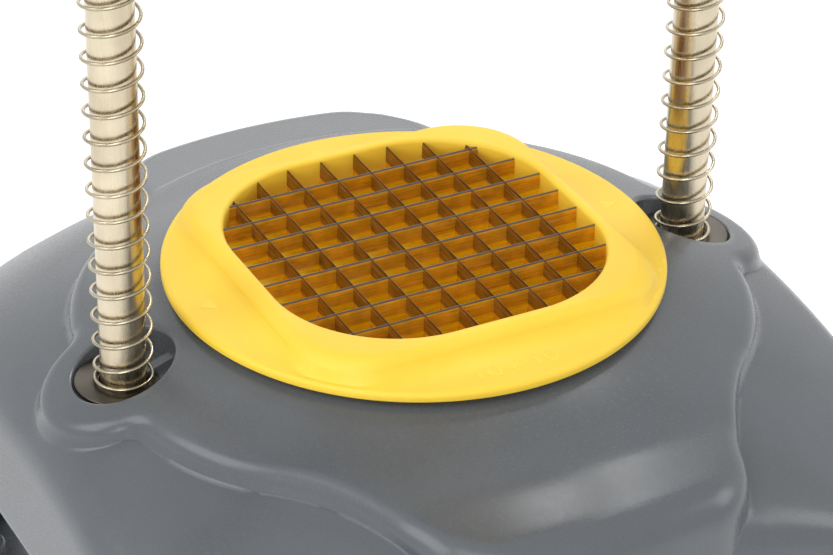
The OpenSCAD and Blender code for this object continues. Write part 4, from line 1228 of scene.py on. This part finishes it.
camera = {"place": (-340.43, -651.12, 592.21), "azimuth": -27.6632, "elevation": 31.7602, "roll": 0.979,
          "lens": 141.75}
lights = {
    "left": {"place": (-820, 60, 720), "aim": (0, 0, 130), "size": (520, 520), "power": 2.4},
    "ridge": {"place": (-400, -420, 880), "aim": (0, 0, 130), "size": (360, 360), "power": 1.4},
    "nose": {"place": (400, 370, 930), "aim": (0, -80, 130), "size": (300, 200), "power": 2.6},
    "front": {"place": (-620, -800, 480), "aim": (0, 0, 130), "size": (500, 400), "power": 3.0},
    "side": {"place": (800, -350, 500), "aim": (0, 0, 130), "size": (400, 400), "power": 1.2},
    "back": {"place": (480, 1050, 460), "aim": (0, 60, 130), "size": (1100, 420), "power": 1.2},
}
surroundings = {"light": 0.68, "seen": 1.0, "floor size": 3, "floor": 0.9, "floor glow": 0.25}


def buildCamera():
    azimuth, elevation, roll = (radians(camera[key]) for key in ("azimuth", "elevation", "roll"))
    data = bpy.data.cameras.new("camera")
    data.lens, data.sensor_width = camera["lens"], 36
    data.clip_start, data.clip_end = 0.01, 20
    made = placed("camera", data)
    made.matrix_world = (Matrix.Translation(Vector(camera["place"]) * mm) @ Matrix.Rotation(azimuth, 4, "Z")
                         @ Matrix.Rotation(pi / 2 - elevation, 4, "X") @ Matrix.Rotation(roll, 4, "Z"))
    bpy.context.scene.camera = made


def buildLights():
    for name, light in lights.items():
        data = bpy.data.lights.new(name, "AREA")
        data.shape = "RECTANGLE"
        data.size, data.size_y = (s * mm for s in light["size"])
        data.energy = light["power"]
        made = placed(name, data)
        place, aim = Vector(light["place"]), Vector(light["aim"])
        made.location = place * mm
        made.rotation_euler = (aim - place).to_track_quat("-Z", "Y").to_euler()
        made.visible_camera = False


def seenPart(tree):
    # 1 for rays that show the surroundings, also mirrored or through glass, and 0 for those that only light
    rays = node(tree, "ShaderNodeLightPath").outputs
    total = rays["Is Camera Ray"]
    for word in ("Is Glossy Ray", "Is Transmission Ray"):
        total = maths(tree, "ADD", total, rays[word], use_clamp=True)
    return total


def buildWorld():
    world = bpy.context.scene.world = bpy.data.worlds.new("studio")
    world.use_nodes = True
    tree = world.node_tree
    tree.nodes.clear()
    strength = spread(tree, seenPart(tree), 0, 1, surroundings["light"], surroundings["seen"])
    sky = node(tree, "ShaderNodeBackground", Color=(1, 1, 1, 1), Strength=strength)
    node(tree, "ShaderNodeOutputWorld", Surface=sky.outputs[0])


def buildFloor():
    bm = bmesh.new()
    bmesh.ops.create_grid(bm, x_segments=1, y_segments=1, size=surroundings["floor size"])
    made, tree, sockets = newMaterial("paleFloor", 0.6, Base_Color=(surroundings["floor"],) * 3 + (1,),
                                      Emission_Color=(1, 1, 1, 1))
    feed(spread(tree, seenPart(tree), 0, 1, 0, surroundings["floor glow"]), sockets["Emission Strength"])
    bumps(tree, sockets, [(speckle(tree, places(tree), 3.0, 3), 0.05, 0.02)])
    floor = placed("floor", toMesh(bm, "floor"))
    floor.data.materials.append(made)


buildCamera()
buildLights()
buildWorld()
buildFloor()
bpy.context.scene.view_settings.view_transform = "Standard"
print("studio made")
